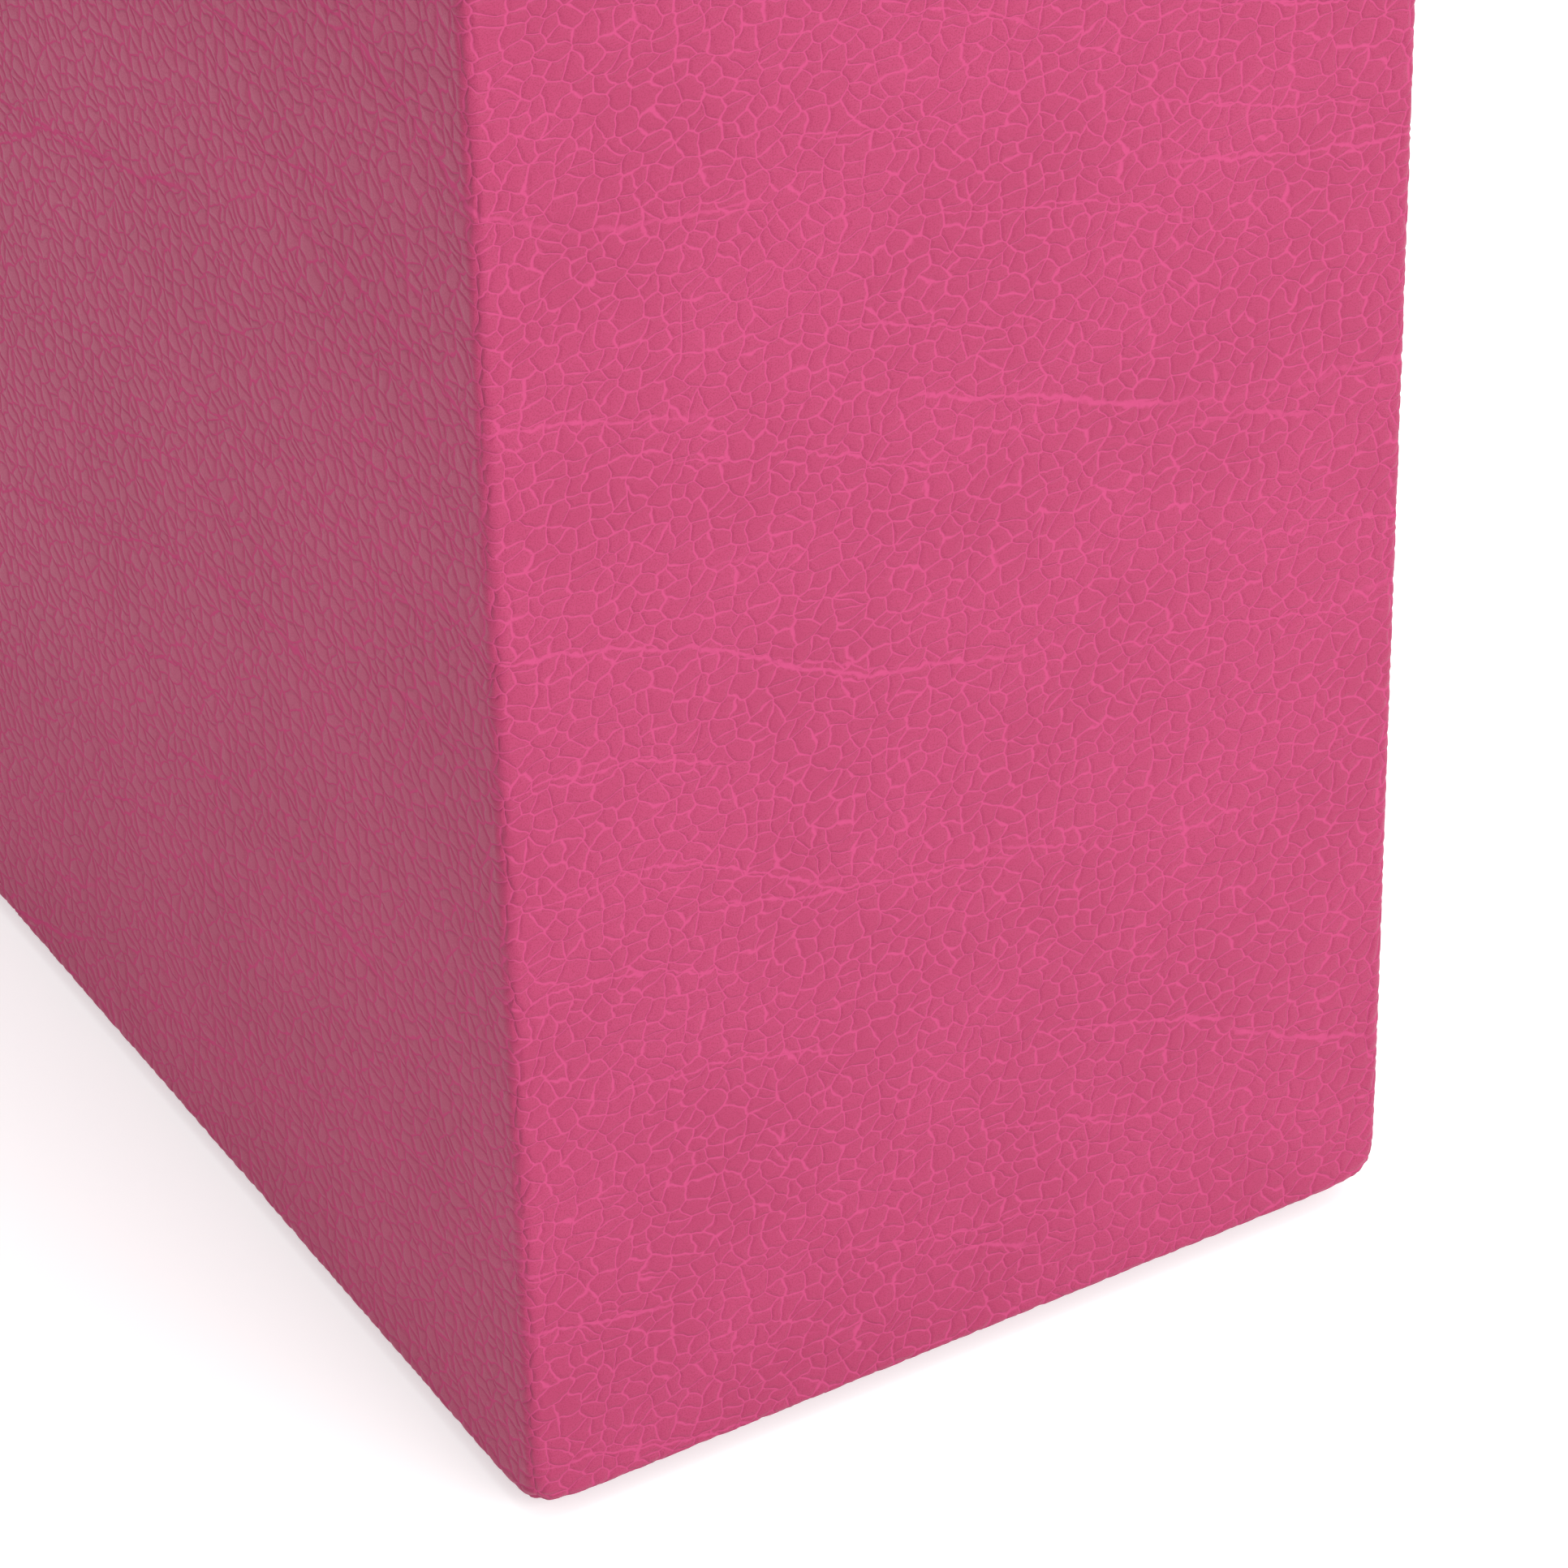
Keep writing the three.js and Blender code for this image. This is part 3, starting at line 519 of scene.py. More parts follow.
def side_quads(lines, side):
    """The quads of one side of the box's grid as index triples, corners in order, facing out."""
    axis = "xyz".index(side[1])
    first, second = [a for a in range(3) if a != axis]
    u, v = np.meshgrid(np.arange(len(lines[first]) - 1), np.arange(len(lines[second]) - 1), indexing="ij")
    corners = np.zeros((u.size, 4, 3), int)
    for corner, (du, dv) in enumerate(((0, 0), (1, 0), (1, 1), (0, 1))):
        corners[:, corner, first] = u.ravel() + du
        corners[:, corner, second] = v.ravel() + dv
    corners[:, :, axis] = 0 if side[0] == "-" else len(lines[axis]) - 1
    # first x second points along +axis for x and z, and along -axis for y.
    outwards = (side[0] == "+") != (axis == 1)
    return corners if outwards else corners[:, ::-1]


def rounding_radius(points, low, high, edge, corner, corner_at):
    """The radius of the box's edges at each point: corner near the corners on side corner_at."""
    if corner_at is None:
        return np.full(len(points), float(edge))
    axis = "xyz".index(corner_at[1])
    plane = (low if corner_at[0] == "-" else high)[axis]
    away = np.abs(points[:, axis] - plane)
    for other in (a for a in range(3) if a != axis):
        away = np.maximum(away, np.minimum(points[:, other] - low[other], high[other] - points[:, other]))
    return edge + (corner - edge) * np.exp(-((away / CORNER_REACH) ** 2))


def hide_places(places, side, low, high, wraps_back):
    """Where places on one side of the box lie on the flat hide before it is wrapped round the box."""
    x, y, z = places[..., 0] - low[0], places[..., 1], places[..., 2]
    wide = high[0] - low[0]
    if side in ("-z", "+z"):
        # The hide turns over the box's top and bottom from the back, or else from the front.
        across = high[1] + x if wraps_back else low[1] - x
        over = high[1] - y if wraps_back else y - low[1]
        return across, high[2] + over if side == "+z" else low[2] - over
    along = {"-x": y, "+y": high[1] + x, "+x": 2 * high[1] + wide - y, "-y": low[1] - x}[side]
    return along, z


def on_plane(points, axis, at):
    return np.abs(points[:, axis] - at) < TINY


def plain_mesh(name, points, polygons):
    """A mesh from points in millimetres and a list of polygons, each an array of point indices."""
    sizes = np.array([len(polygon) for polygon in polygons])
    corners = np.concatenate(polygons)
    mesh = bpy.data.meshes.new(name)
    mesh.vertices.add(len(points))
    mesh.vertices.foreach_set("co", (points * MM).astype(np.float32).ravel())
    mesh.loops.add(len(corners))
    mesh.loops.foreach_set("vertex_index", corners.astype(np.int32))
    mesh.polygons.add(len(sizes))
    mesh.polygons.foreach_set("loop_start", (np.cumsum(sizes) - sizes).astype(np.int32))
    mesh.update(calc_edges=True)
    return mesh


def open_middles(middles, windows):
    """True for each middle that lies in no window."""
    kept = np.ones(len(middles), bool)
    for window_low, window_high in windows:
        kept &= ~np.all((middles > window_low) & (middles < window_high), axis=1)
    return kept


def grid_key(corners, counts):
    return (corners[..., 0] * counts[1] + corners[..., 1]) * counts[2] + corners[..., 2]


def hidden_cells(lines, cuts, side, windows):
    """The hidden face of one side as a few large polygons, whose outlines keep every grid point."""
    axis = "xyz".index(side[1])
    first, second = [a for a in range(3) if a != axis]
    stops = []
    for a in (first, second):
        ends = [lines[a][0], lines[a][-1]]
        places = sorted({c for c in cuts[a] if ends[0] < c < ends[1]} | set(ends))
        stops.append([int(np.argmin(np.abs(lines[a] - place))) for place in places])
    level = 0 if side[0] == "-" else len(lines[axis]) - 1
    cells = []
    for u0, u1 in zip(stops[0], stops[0][1:]):
        for v0, v1 in zip(stops[1], stops[1][1:]):
            middle = np.zeros((1, 3))
            middle[0, axis] = lines[axis][level]
            middle[0, first] = (lines[first][u0] + lines[first][u1]) / 2
            middle[0, second] = (lines[second][v0] + lines[second][v1]) / 2
            if not open_middles(middle, windows)[0]:
                continue
            # Round the cell: along u, up v, back along u, down v.
            u = [*range(u0, u1), *[u1] * (v1 - v0), *range(u1, u0, -1), *[u0] * (v1 - v0)]
            v = [*[v0] * (u1 - u0), *range(v0, v1), *[v1] * (u1 - u0), *range(v1, v0, -1)]
            outline = np.zeros((len(u), 3), int)
            outline[:, first], outline[:, second], outline[:, axis] = u, v, level
            outwards = (side[0] == "+") != (axis == 1)
            cells.append(outline[::-1] if outwards else outline)
    return cells


def cover_mesh(name, low, high, sides, windows=(), wall=1.0, edge=1.6, corner=None, corner_at=None,
               turned=0.5, fine=0.35, coarse=0.6, inwards=False, shift=(0.0, 0.0, 0.0), relief=1.0):
    """A closed skin, wall thick, over some sides of a box, with windows cut out of it. In millimetres.

    windows are boxes (low, high): the parts of the sides inside one are left out, and its borders are
    turned in with radius turned. edge is the radius of the box's edges, and corner their radius near the
    corners on side corner_at. The grid's steps are fine near the edges and coarse elsewhere. inwards
    makes the skin line the inside of the box instead. shift moves the grain, and relief scales it.
    """
    low, high = np.array(low, float), np.array(high, float)
    cuts = [[w[end][axis] for w in windows for end in (0, 1)] for axis in range(3)]
    lines = [grid_lines(low[a], high[a], cuts[a], fine, coarse, FINE_MARGIN) for a in range(3)]
    counts = [len(line) for line in lines]

    per_side = [side_quads(lines, side) for side in sides]
    quads = np.concatenate(per_side)
    corner_places = np.stack([lines[a][quads[:, :, a]] for a in range(3)], axis=2)
    flat = np.zeros_like(corner_places)
    first = 0
    for side, own in zip(sides, per_side):
        last = first + len(own)
        spread = hide_places(corner_places[first:last], side, low, high, "+y" in sides)
        flat[first:last, :, 0], flat[first:last, :, 1] = spread
        first = last
    kept = open_middles(corner_places.mean(axis=1), windows)
    quads, flat = quads[kept], flat[kept]
    used, faces = np.unique(grid_key(quads, counts), return_inverse=True)
    faces = faces.reshape(-1, 4)
    rows, columns = counts[1:]
    index = np.stack([used // (rows * columns), used // columns % rows, used % columns], axis=1)
    rest = np.stack([lines[a][index[:, a]] for a in range(3)], axis=1)

    # Rounded edges: a point is pushed onto a sphere round the nearest point of the shrunken box.
    radius = rounding_radius(rest, low, high, edge, corner or edge, corner_at)[:, None]
    inner_low = np.where([f"-{a}" in sides for a in "xyz"], low + radius, -np.inf)
    inner_high = np.where([f"+{a}" in sides for a in "xyz"], high - radius, np.inf)
    centre = np.minimum(np.maximum(rest, inner_low), inner_high)
    away = rest - centre
    out = away / np.maximum(np.linalg.norm(away, axis=1, keepdims=True), 1e-9)
    shaped = centre + out * radius

    # The hidden face follows the rounding inside a hide. Outside a lining it keeps the box's shape.
    hidden = centre + out * (radius - wall)
    if inwards:
        hidden = rest.copy()
        for side in sides:
            axis = "xyz".index(side[1])
            end, sign = (low, -1.0) if side[0] == "-" else (high, 1.0)
            hidden[on_plane(rest, axis, end[axis]), axis] += sign * wall

    # Turned borders: near a window the skin drops inwards over a quarter round.
    for side in sides:
        axis = "xyz".index(side[1])
        end, sign = (low[axis], 1.0) if side[0] == "-" else (high[axis], -1.0)
        beside = on_plane(rest, axis, end)
        for window_low, window_high in windows:
            if not window_low[axis] < end < window_high[axis]:
                continue
            gap = np.maximum(np.maximum(window_low - rest[beside], rest[beside] - window_high), 0.0)
            gap[:, axis] = 0.0
            short = np.maximum(turned - np.linalg.norm(gap, axis=1), 0.0)
            shaped[beside, axis] += sign * (turned - np.sqrt(turned**2 - short**2))

    # The rim joins the two faces along every border.
    count = len(rest)
    edges = np.concatenate([faces[:, [k, (k + 1) % 4]] for k in range(4)])
    ordered = np.sort(edges, axis=1)
    codes, inverse, times = np.unique(
        ordered[:, 0] * count + ordered[:, 1], return_inverse=True, return_counts=True
    )
    border = edges[times[inverse] == 1]
    rim = np.stack([border[:, 1], border[:, 0], border[:, 0] + count, border[:, 1] + count], axis=1)
    cells = [
        np.searchsorted(used, grid_key(cell, counts)) + count
        for side in sides
        for cell in hidden_cells(lines, cuts, side, windows)
    ]
    polygons = [*faces, *rim, *cells]
    if inwards:
        polygons = [polygon[::-1] for polygon in polygons]
        out = -out

    # Only the hidden points that an outline uses are kept.
    needed = np.zeros(2 * count, bool)
    needed[:count] = True
    needed[rim.ravel()] = True
    needed[np.concatenate(cells)] = True
    places = np.cumsum(needed) - 1
    polygons = [places[polygon] for polygon in polygons]

    # At a border the relief fades out, so that the rim stays clean.
    weight = relief * np.where((np.abs(away) > TINY).sum(axis=1) > 1, EDGE_RELIEF, 1.0)
    weight[np.unique(border)] = 0.0
    mesh = plain_mesh(name, np.concatenate([shaped, hidden])[needed], polygons)
    unseen = np.zeros((len(mesh.loops) - 4 * len(flat), 3))
    set_attribute(mesh, "rest", "CORNER", np.concatenate([flat.reshape(-1, 3), unseen]) + shift)
    set_attribute(mesh, "out", "POINT", np.concatenate([out, np.zeros_like(out)])[needed])
    set_attribute(mesh, "relief", "POINT", np.concatenate([weight, np.zeros(count)])[needed])
    return mesh


def set_attribute(mesh, name, domain, values):
    """Stores one number or one vector per point or corner."""
    is_vector = values.ndim == 2
    attribute = mesh.attributes.new(name, "FLOAT_VECTOR" if is_vector else "FLOAT", domain)
    attribute.data.foreach_set("vector" if is_vector else "value", values.astype(np.float32).ravel())


def leather_cover(node, name, *args, **options):
    """A cover_mesh with the hide's grain raised on it, in the place of a CAD node."""
    obj = add_object(name, cover_mesh(name, *args, **options))
    obj.modifiers.new("grain", "NODES").node_group = GRAIN_TREE
    freeze(obj)
    shade(obj, SOFT_EDGE)
    return stand_in(obj, node)


# ---- The leather of the carcass, the apron, the shelves, the drawers and the lid

# The width of the leather-covered edge round an opening, the hide's width under the base, the radius
# of a turned border, and how far a window reaches each side of the face it cuts.
STILE = 6.5
TURN_IN = 14.0
TURNED = 0.6
FAR = 1.0
# Room round the lock and the strike.
CUT_ROOM = 0.3


def dress_body():
    low, high = node_box("body_leather")
    front = (
        (low[0] + STILE, low[1] - FAR, low[2] + STILE - 0.3),
        (high[0] - STILE, low[1] + FAR, high[2] + FAR),
    )
    top = (
        (low[0] + STILE, low[1] - FAR, high[2] - FAR),
        (high[0] - STILE, high[1] - STILE, high[2] + FAR),
    )
    under = (
        (low[0] + TURN_IN, low[1] + TURN_IN, low[2] - FAR),
        (high[0] - TURN_IN, high[1] - TURN_IN, low[2] + FAR),
    )
    leather_cover(
        "body_leather", "body_hide", low, high, SIDES, (front, top, under),
        edge=1.7, corner=3.4, corner_at="-z", turned=TURNED,
    )


def cut_round(node, level):
    """A window at a height that leaves room for a metal piece."""
    low, high = node_box(node)
    return (
        (low[0] - CUT_ROOM, low[1] - CUT_ROOM, level - FAR),
        (high[0] + CUT_ROOM, high[1] + CUT_ROOM, level + FAR),
    )


def dress_apron():
    low, high = node_box("apron_leather")
    plate_low, plate_high = node_box("key_escutcheon")
    middle_z = (plate_low[2] + plate_high[2]) / 2
    keyhole = ((-2.0, low[1] - FAR, middle_z - 5.0), (2.0, low[1] + FAR, middle_z + 2.2))
    leather_cover(
        "apron_leather", "apron_hide", low, high, ("-y", "+z", "-z"),
        (keyhole, cut_round("lock_case", high[2])),
        edge=1.2, turned=0.3, coarse=0.7, shift=(0.0, 40.0, 13.0), wall=0.9,
    )


def dress_shelves():
    for number in (1, 2):
        node = f"shelf_edging_{number}"
        low, high = node_box(node)
        leather_cover(
            node, f"shelf_{number}_hide_edging", low, high, ("-y", "+z", "-z"),
            edge=0.9, coarse=0.7, shift=(0.0, 60.0 * number, 0.0), wall=0.5, relief=0.7,
        )


def dress_drawers():
    for number in (1, 2, 3):
        node = f"drawer_{number}_leather"
        low, high = node_box(node)
        leather_cover(
            node, f"drawer_{number}_hide", low, high, ("-x", "+x", "-y", "-z", "+z"),
            edge=1.5, corner=2.2, corner_at="-y", coarse=0.7,
            shift=(31.0 * number, 90.0, 17.0 * number),
        )


def dress_lid():
    low, high = node_box("lid_leather")
    inside = (
        (low[0] + STILE, low[1] + STILE, low[2] - FAR),
        (high[0] - STILE, high[1] - STILE, low[2] + FAR),
    )
    leather_cover(
        "lid_leather", "lid_hide", low, high, SIDES, (inside, cut_round("lid_strike", low[2])),
        edge=1.9, corner=3.4, corner_at="+z", turned=TURNED, coarse=0.7, shift=(7.0, -11.0, 140.0),
    )


dress_body()
dress_apron()
dress_shelves()
dress_drawers()
dress_lid()


# ---- Velvet: linings, dividers and the ring cushion


def velvet_cover(node, name, low, high, sides, **options):
    mesh = cover_mesh(name, low, high, sides, fine=0.6, coarse=4.0, turned=0.4, **options)
    obj = add_object(name, mesh)
    shade(obj, SOFT_EDGE)
    return stand_in(obj, node)


LINING = 0.8
LINING_WALL = LINING - 0.05
# The padding between the lid's board and its lining.
LID_PAD = 2.6


def line_boxes():
    for node in ("compartment_lining", "drawer_1_lining", "drawer_2_lining", "drawer_3_lining"):
        low, high = node_box(node)
        inside_high = np.array((high[0] - LINING, high[1] - LINING, high[2]))
        velvet_cover(
            node, f"{node}_velvet", low + LINING, inside_high, ("-x", "+x", "-y", "+y", "-z"),
            inwards=True, wall=LINING_WALL, edge=2.4,
        )


def line_lid():
    low, high = node_box("lid_lining")
    inside_low = np.array((low[0] + LINING, low[1] + LINING, low[2]))
    inside_high = np.array((high[0] - LINING, high[1] - LINING, high[2] - LID_PAD))
    velvet_cover(
        "lid_lining", "lid_lining_velvet", inside_low, inside_high, ("-x", "+x", "-y", "+y", "+z"),
        inwards=True, wall=LINING_WALL, edge=3.0,
    )


def dress_dividers():
    for node in ("long_divider", "cross_divider", "drawer_3_divider"):
        low, high = node_box(node)
        velvet_cover(node, f"{node}_velvet", low, high, SIDES, wall=0.4, edge=1.1)


def dress_mirror_frame():
    low, high = node_box("mirror_frame")
    glass_low, glass_high = node_box("mirror_glass")
    lip = 3.0
    opening = (
        (glass_low[0] + lip, glass_low[1] + lip, low[2] - FAR),
        (glass_high[0] - lip, glass_high[1] - lip, low[2] + FAR),
    )
    mesh = cover_mesh(
        "mirror_surround", low, high, ("-x", "+x", "-y", "+y", "-z"), (opening,),
        wall=1.6, edge=1.7, turned=1.5, fine=0.5, coarse=3.0,
    )
    surround = add_object("mirror_surround", mesh)
    shade(surround, SOFT_EDGE)
    stand_in(surround, "mirror_frame")


# The ring cushion: a velvet base with a row of stuffed rolls, shaped by one seeded cloth simulation.
ROLLS = 6
ROLL_SIDES = 40
ROLL_RINGS = 64
ROLL_SEED = 7
ROLL_FRAMES = 12
# How much of the simulated creasing is kept, and how far each copy of the roll is turned, in degrees.
CREASING = 0.35
ROLL_TURN = 60


def slack_roll(length, radius):
    """A closed round bag along X, in metres, a little smaller than the roll it swells to."""
    rng = np.random.default_rng(ROLL_SEED)
    bm = bmesh.new()
    rings = []
    for step in range(ROLL_RINGS + 1):
        along = step / ROLL_RINGS
        from_end = min(along, 1 - along) * length / radius
        reach = 0.95 * max(0.0, 1 - max(0.0, 1 - 2 * from_end) ** 3) + 0.02
        x = (along - 0.5) * length * 0.985
        ring = []
        for side in range(ROLL_SIDES):
            angle = 2 * math.pi * side / ROLL_SIDES
            uneven = 1 + rng.normal(0, 0.004)
            away = radius * reach * uneven
            ring.append(bm.verts.new((x, away * math.cos(angle), away * math.sin(angle))))
        rings.append(ring)
    for ring, after in zip(rings, rings[1:]):
        for side in range(ROLL_SIDES):
            bm.faces.new((ring[side], ring[side - 1], after[side - 1], after[side]))
    bm.faces.new(rings[0])
    bm.faces.new(reversed(rings[-1]))
    bmesh.ops.recalc_face_normals(bm, faces=bm.faces)
    return mesh_from(bm, "roll")


def inflated_roll(length, radius):
    """The roll's points after its bag has swollen and creased, in metres, and its mesh."""
    roll = add_object("roll", slack_roll(length, radius))
    slack = np.array([v.co for v in roll.data.vertices])
    cloth = roll.modifiers.new("swelling", "CLOTH")
    cloth.settings.quality = 6
    cloth.settings.mass = 0.15
    cloth.settings.tension_stiffness = 12
    cloth.settings.compression_stiffness = 12
    cloth.settings.bending_stiffness = 0.5
    cloth.settings.use_pressure = True
    cloth.settings.uniform_pressure_force = 1.6
    cloth.settings.shrink_min = -0.015
    cloth.settings.effector_weights.gravity = 0
    cloth.collision_settings.use_collision = False
    cloth.point_cache.frame_start = 1
    cloth.point_cache.frame_end = ROLL_FRAMES
    for number in range(1, ROLL_FRAMES + 1):
        bpy.context.scene.frame_set(number)
    freeze(roll)
    bpy.context.scene.frame_set(1)
    swollen = np.array([v.co for v in roll.data.vertices])
    points = slack + CREASING * (swollen - slack)
    mesh = roll.data
    bpy.data.objects.remove(roll)
    return points, mesh


def add_ring_cushion():
    low, high = node_box("ring_cushion")
    pitch = (high[1] - low[1]) / ROLLS
    radius = pitch / 2
    length = high[0] - low[0]
    points, roll_mesh = inflated_roll(length * MM, radius * MM)
    polygons = [list(polygon.vertices) for polygon in roll_mesh.polygons]
    limit = np.array((length / 2 - 0.2, radius - 0.12, radius - 0.1)) * MM
    # The swollen bag is brought back to the roll's size before its creases are kept.
    points *= limit / np.percentile(np.abs(points), 99.0, axis=0)
    bm = bmesh.new()
    for number in range(ROLLS):
        turn = math.radians(ROLL_TURN * number)
        spun = points.copy()
        spun[:, 1] = points[:, 1] * math.cos(turn) - points[:, 2] * math.sin(turn)
        spun[:, 2] = points[:, 1] * math.sin(turn) + points[:, 2] * math.cos(turn)
        spun[:, 0] *= (-1) ** number
        spun = np.clip(spun, -limit, limit)
        centre = ((low[0] + high[0]) / 2, low[1] + (number + 0.5) * pitch, high[2] - radius)
        verts = [bm.verts.new(place) for place in spun + np.array(centre) * MM]
        for polygon in polygons:
            bm.faces.new([verts[k] for k in polygon])
    bmesh.ops.recalc_face_normals(bm, faces=bm.faces)
    # The caps at the rolls' ends are left as they are.
    evenly = [e for e in bm.edges if len(e.verts[0].link_edges) == 4]
    bmesh.ops.subdivide_edges(bm, edges=evenly, cuts=1, smooth=1.0, use_grid_fill=True)
    for vert in bm.verts:
        vert.co = np.clip(np.array(vert.co), (low + 0.15) * MM, (high - 0.05) * MM)
    base = bmesh.ops.create_cube(bm, size=1.0)["verts"]
    base_high = high[2] - radius - 1.0
    size = Vector((length, high[1] - low[1], base_high - low[2])) * MM
    middle = Vector((low[0] + high[0], low[1] + high[1], low[2] + base_high)) * MM / 2
    bmesh.ops.transform(bm, matrix=Matrix.Translation(middle) @ Matrix.Diagonal((*size, 1)), verts=base)
    cushion = add_object("ring_rolls", mesh_from(bm, "ring_rolls"))
    shade(cushion, 60)
    stand_in(cushion, "ring_cushion")


line_boxes()
line_lid()
dress_dividers()
dress_mirror_frame()
add_ring_cushion()


# ---- The handle's grip: a stuffed leather tube, sewn along its inner side

GRIP = {"x": 42.0, "reach": 34.0, "corner": 14.0, "start": 16.3, "z": 257.0, "radius": 4.2}
GRIP_SIDES = 48
# Half lengths of a stitch, the distance between stitches, how far they stay from the grip's ends, and
# the angle in radians from the seam to each row.
STITCH_SIZE = (0.95, 0.26, 0.26)
STITCH_STEP = 3.0
STITCH_MARGIN = 6.0
STITCH_TILT = 0.30


def grip_path(step=0.5):
    """Points, directions and inward sides along the grip, evenly spaced, in millimetres."""
    x, reach, corner = GRIP["x"], GRIP["reach"], GRIP["corner"]
    corners = [(-x, -GRIP["start"]), (-x, -reach + corner)]
    bend = np.linspace(0, 1, 60)[1:, None]
    a, b, c = (np.array(v) for v in ((-x, -reach + corner), (-x, -reach), (-x + corner, -reach)))
    left = (1 - bend) ** 2 * a + 2 * bend * (1 - bend) * b + bend**2 * c
    right = left[::-1] * (-1, 1)
    points = np.concatenate([np.array(corners), left, right, np.array(corners)[::-1] * (-1, 1)])
    away = np.concatenate([[0], np.cumsum(np.linalg.norm(np.diff(points, axis=0), axis=1))])
    at = np.linspace(0, away[-1], int(away[-1] / step))
    even = np.stack([np.interp(at, away, points[:, k]) for k in (0, 1)], axis=1)
    along = np.gradient(even, axis=0)
    along /= np.linalg.norm(along, axis=1, keepdims=True)
    inner = np.stack([-along[:, 1], along[:, 0]], axis=1)
    return even, along, inner, at


def grip_tube(even, inner, at):
    """The grip's mesh, its centre line, and how full it is along that line."""
    ends = np.minimum(at, at[-1] - at)
    fullness = 0.80 + 0.20 * np.clip(ends / 12.0, 0, 1) ** 0.6
    fullness *= np.where(ends < 0.6, 0.9, 1.0)
    angles = np.linspace(0, 2 * math.pi, GRIP_SIDES, endpoint=False)
    # The seam is a narrow groove with a raised welt on each side, where the angle is zero.
    turned = np.abs((angles + math.pi) % (2 * math.pi) - math.pi)
    groove = 0.10 * np.exp(-((turned / 0.07) ** 2))
    section = 0.965 - groove + 0.035 * np.exp(-(((turned - STITCH_TILT) / 0.16) ** 2))
    out = np.stack(
        [
            inner[:, None, 0] * np.cos(angles)[None],
            inner[:, None, 1] * np.cos(angles)[None],
            np.broadcast_to(np.sin(angles)[None], (len(at), GRIP_SIDES)),
        ],
        axis=2,
    )
    centre = np.stack([even[:, 0], even[:, 1], np.full(len(at), GRIP["z"])], axis=1)
    points = centre[:, None] + out * (GRIP["radius"] * fullness[:, None] * section[None])[:, :, None]
    index = np.arange(len(at) * GRIP_SIDES).reshape(len(at), GRIP_SIDES)
    after = np.roll(index, -1, axis=1)
    quads = np.stack([index[:-1], index[1:], after[1:], after[:-1]], axis=-1).reshape(-1, 4)
    mesh = plain_mesh("handle_hide", points.reshape(-1, 3), [*quads, index[0], index[-1][::-1]])

    # The grain fades out beside the seam.
    weight = np.where(turned < 0.5, 0.0, 0.8)
    girth = np.arange(GRIP_SIDES + 1) * 2 * math.pi * GRIP["radius"] / GRIP_SIDES
    flat = np.zeros((len(at) - 1, GRIP_SIDES, 4, 3))
    flat[..., (0, 3), 0], flat[..., (1, 2), 0] = at[:-1, None, None], at[1:, None, None]
    flat[..., (0, 1), 1], flat[..., (2, 3), 1] = girth[:-1, None], girth[1:, None]
    caps = np.zeros((2 * GRIP_SIDES, 3))
    set_attribute(mesh, "rest", "CORNER", np.concatenate([flat.reshape(-1, 3), caps]))
    set_attribute(mesh, "out", "POINT", out.reshape(-1, 3))
    set_attribute(mesh, "relief", "POINT", np.broadcast_to(weight[None], (len(at), GRIP_SIDES)).ravel())
    return mesh, centre, fullness


def sew(grip, centre, fullness, along, inner, at):
    """Two rows of stitches, one along each side of the grip's seam."""
    bm = bmesh.new()
    bm.from_mesh(grip.data)
    faces_before = len(bm.faces)
    shape = Matrix.Diagonal((*(size * MM for size in STITCH_SIZE), 1))
    for place in np.arange(STITCH_MARGIN, at[-1] - STITCH_MARGIN, STITCH_STEP):
        k = int(np.searchsorted(at, place))
        heading = Vector((along[k, 0], along[k, 1], 0)).to_track_quat("X", "Z").to_matrix().to_4x4()
        for tilt in (-STITCH_TILT, STITCH_TILT):
            across = math.cos(tilt)
            facing = np.array((inner[k, 0] * across, inner[k, 1] * across, math.sin(tilt)))
            spot = centre[k] + GRIP["radius"] * fullness[k] * facing
            matrix = Matrix.Translation(Vector(spot) * MM) @ heading @ shape
            bmesh.ops.create_icosphere(bm, subdivisions=2, radius=1.0, matrix=matrix)
    bm.faces.ensure_lookup_table()
    for face in bm.faces[faces_before:]:
        face.material_index = 1
    bm.to_mesh(grip.data)
    bm.free()


def add_grip():
    even, along, inner, at = grip_path()
    mesh, centre, fullness = grip_tube(even, inner, at)
    grip = add_object("handle_hide", mesh)
    grip.modifiers.new("grain", "NODES").node_group = GRAIN_TREE
    freeze(grip)
    sew(grip, centre, fullness, along, inner, at)
    grip.data.materials.append(LEATHER)
    grip.data.materials.append(THREAD)
    grip.data.shade_smooth()
    stand_in(grip, "handle_grip")


add_grip()


# ---- Metal, wood, card and glass that keep the CAD's shape

HINGE_THICKNESS = 1.0
HINGE_SCREWS = (-10.0, 0.0, 10.0)
HINGE_SCREW_MARGIN = 4.5
PLATE_SCREW_MARGIN = 2.2


def refine_hinge(side):
    for leaf, name, sign in (("body", "lower", -1), ("lid", "upper", 1)):
        node = f"{side}_hinge_{leaf}_leaf"
        low, high = node_box(node)
        row = (high if sign > 0 else low)[2] - sign * HINGE_SCREW_MARGIN
        heads = []
        for offset in HINGE_SCREWS:
            place = ((low[0] + high[0]) / 2 + offset, low[1] + HINGE_THICKNESS, row)
            heads.append(screw_matrix(place, (0, 1, 0), 40 + 3 * offset))
        refined(node, f"{side}_hinge_{name}_leaf", 0.2, screws=heads)
    refined(f"{side}_hinge_pin", f"{side}_hinge_wire", 0.3)


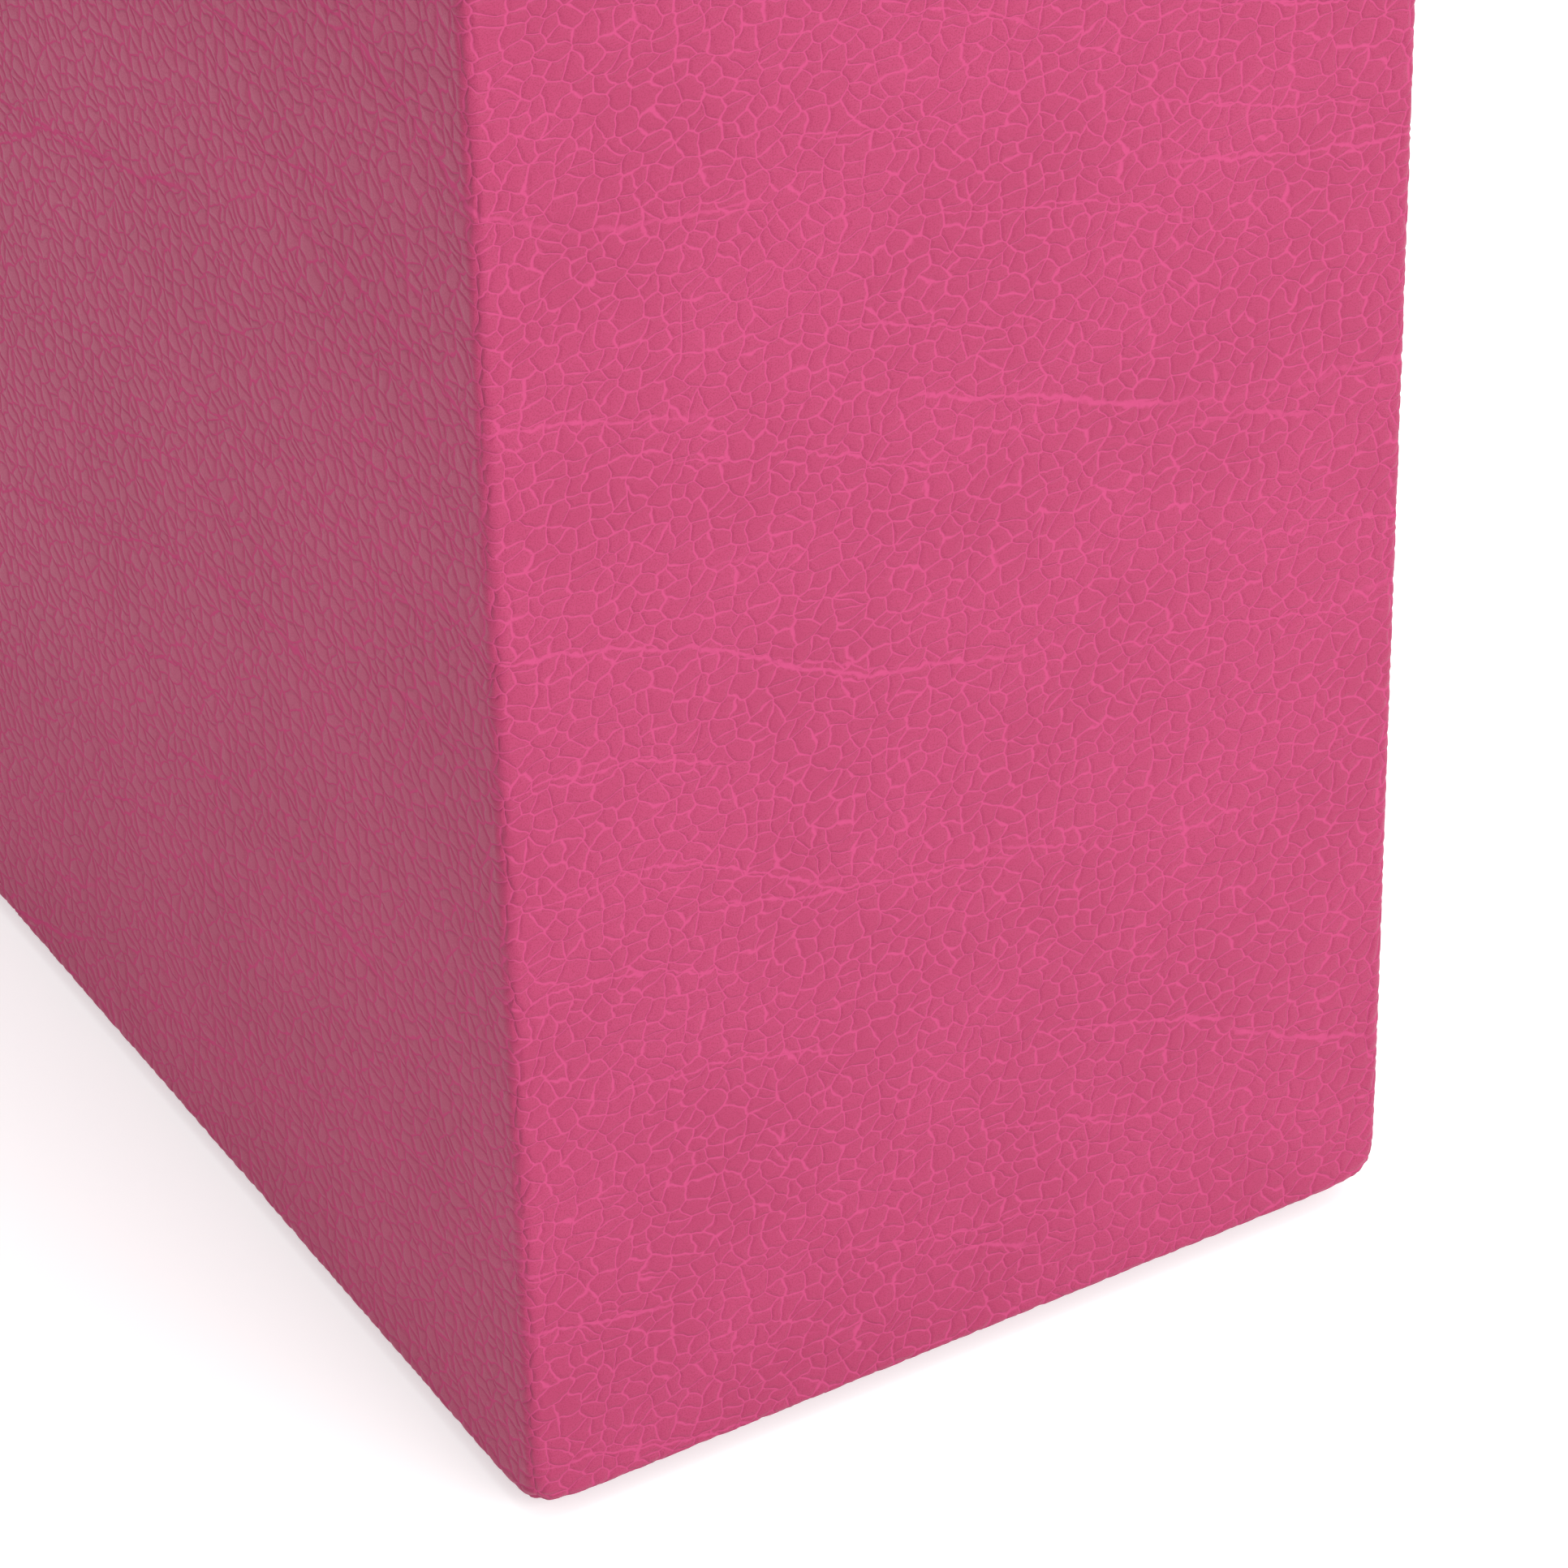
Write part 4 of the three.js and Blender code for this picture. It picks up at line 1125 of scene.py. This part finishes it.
def refine_key_plate():
    low, high = node_box("key_escutcheon")
    spots = ((high[2] - PLATE_SCREW_MARGIN, 25), (low[2] + PLATE_SCREW_MARGIN, 70))
    heads = [screw_matrix((0, low[1], height), (0, -1, 0), turn) for height, turn in spots]
    refined("key_escutcheon", "key_plate", 0.3, screws=heads)


for side in ("left", "right"):
    refine_hinge(side)
    refined(f"{side}_handle_bracket", f"{side}_handle_stand", 0.35)
    refined(f"{side}_handle_eye", f"{side}_handle_fitting", 0.4)
for number in (1, 2, 3):
    refined(f"drawer_{number}_box", f"drawer_{number}_tray", 0.3)
    refined(f"drawer_{number}_knob", f"drawer_{number}_pull", 0.3)
refined("key", "key_cut", 0.4)
refine_key_plate()
refined("base_panel", "base_suede_panel", 0.4)

# The CAD pieces that still show keep their shape and take the same looks.
for name, obj in NODES.items():
    look = SLOT_LOOKS[SLOT_OF[name]]
    if obj.data.materials:
        obj.material_slots[0].material = look
    else:
        obj.data.materials.append(look)


# ---- Floor, lights and camera


FLOOR_HALF = 4.0


def add_floor():
    """A pale floor just under the case. It glows a little, so that it looks as white as the background."""
    corners = [(x * FLOOR_HALF, y * FLOOR_HALF, 0) for x, y in ((-1, -1), (1, -1), (1, 1), (-1, 1))]
    mesh = bpy.data.meshes.new("floor")
    mesh.from_pydata(corners, [], [(0, 1, 2, 3)])
    floor = add_object("floor", mesh)
    floor.location.z = -0.3 * MM
    material, _, shader = new_material("pale_floor", 0.9, Specular_IOR_Level=0.1)
    shader.inputs["Base Color"].default_value = (0.60, 0.60, 0.60, 1)
    shader.inputs["Emission Color"].default_value = (1, 1, 1, 1)
    shader.inputs["Emission Strength"].default_value = 0.48
    mesh.materials.append(material)


def add_softbox(name, place, size, power):
    """A square lamp at place, aimed at the middle of the case, in metres and watts."""
    light = bpy.data.lights.new(name, "AREA")
    light.shape = "SQUARE"
    light.size = size
    light.energy = power
    lamp = bpy.data.objects.new(name, light)
    lamp.location = place
    aim = Vector((0, 0, 0.12)) - Vector(place)
    lamp.rotation_euler = aim.to_track_quat("-Z", "Y").to_euler()
    bpy.context.scene.collection.objects.link(lamp)


def light_room():
    world = bpy.data.worlds.new("studio")
    world.use_nodes = True
    background = world.node_tree.nodes["Background"]
    background.inputs["Color"].default_value = (1, 1, 1, 1)
    background.inputs["Strength"].default_value = 0.92
    bpy.context.scene.world = world
    add_softbox("end_softbox", (-1.45, -0.42, 0.75), 1.0, 21)
    add_softbox("top_softbox", (0.1, -0.25, 1.7), 1.2, 10)
    add_softbox("front_softbox", (0.6, -1.6, 0.9), 1.2, 14)
    bpy.context.scene.view_settings.view_transform = "Standard"


def place_camera():
    """The camera looks down at the lower back corner of the left end, from behind the case."""
    azimuth, elevation, roll = (math.radians(a) for a in (239.794, 35.971, -1.208))
    aim = Vector((-100.0, 23.976, 94.346)) * MM
    distance = 843.683 * MM
    back = Vector(
        (
            math.sin(azimuth) * math.cos(elevation),
            -math.cos(azimuth) * math.cos(elevation),
            math.sin(elevation),
        )
    )
    lens = bpy.data.cameras.new("camera")
    lens.sensor_width = 36.0
    lens.lens = 172.34
    lens.clip_start, lens.clip_end = 0.05, 30.0
    camera = bpy.data.objects.new("camera", lens)
    camera.location = aim + back * distance
    camera.rotation_mode = "QUATERNION"
    level = (-back).to_track_quat("-Z", "Y")
    camera.rotation_quaternion = level @ Matrix.Rotation(roll, 4, "Z").to_quaternion()
    bpy.context.scene.collection.objects.link(camera)
    bpy.context.scene.camera = camera


add_floor()
light_room()
place_camera()
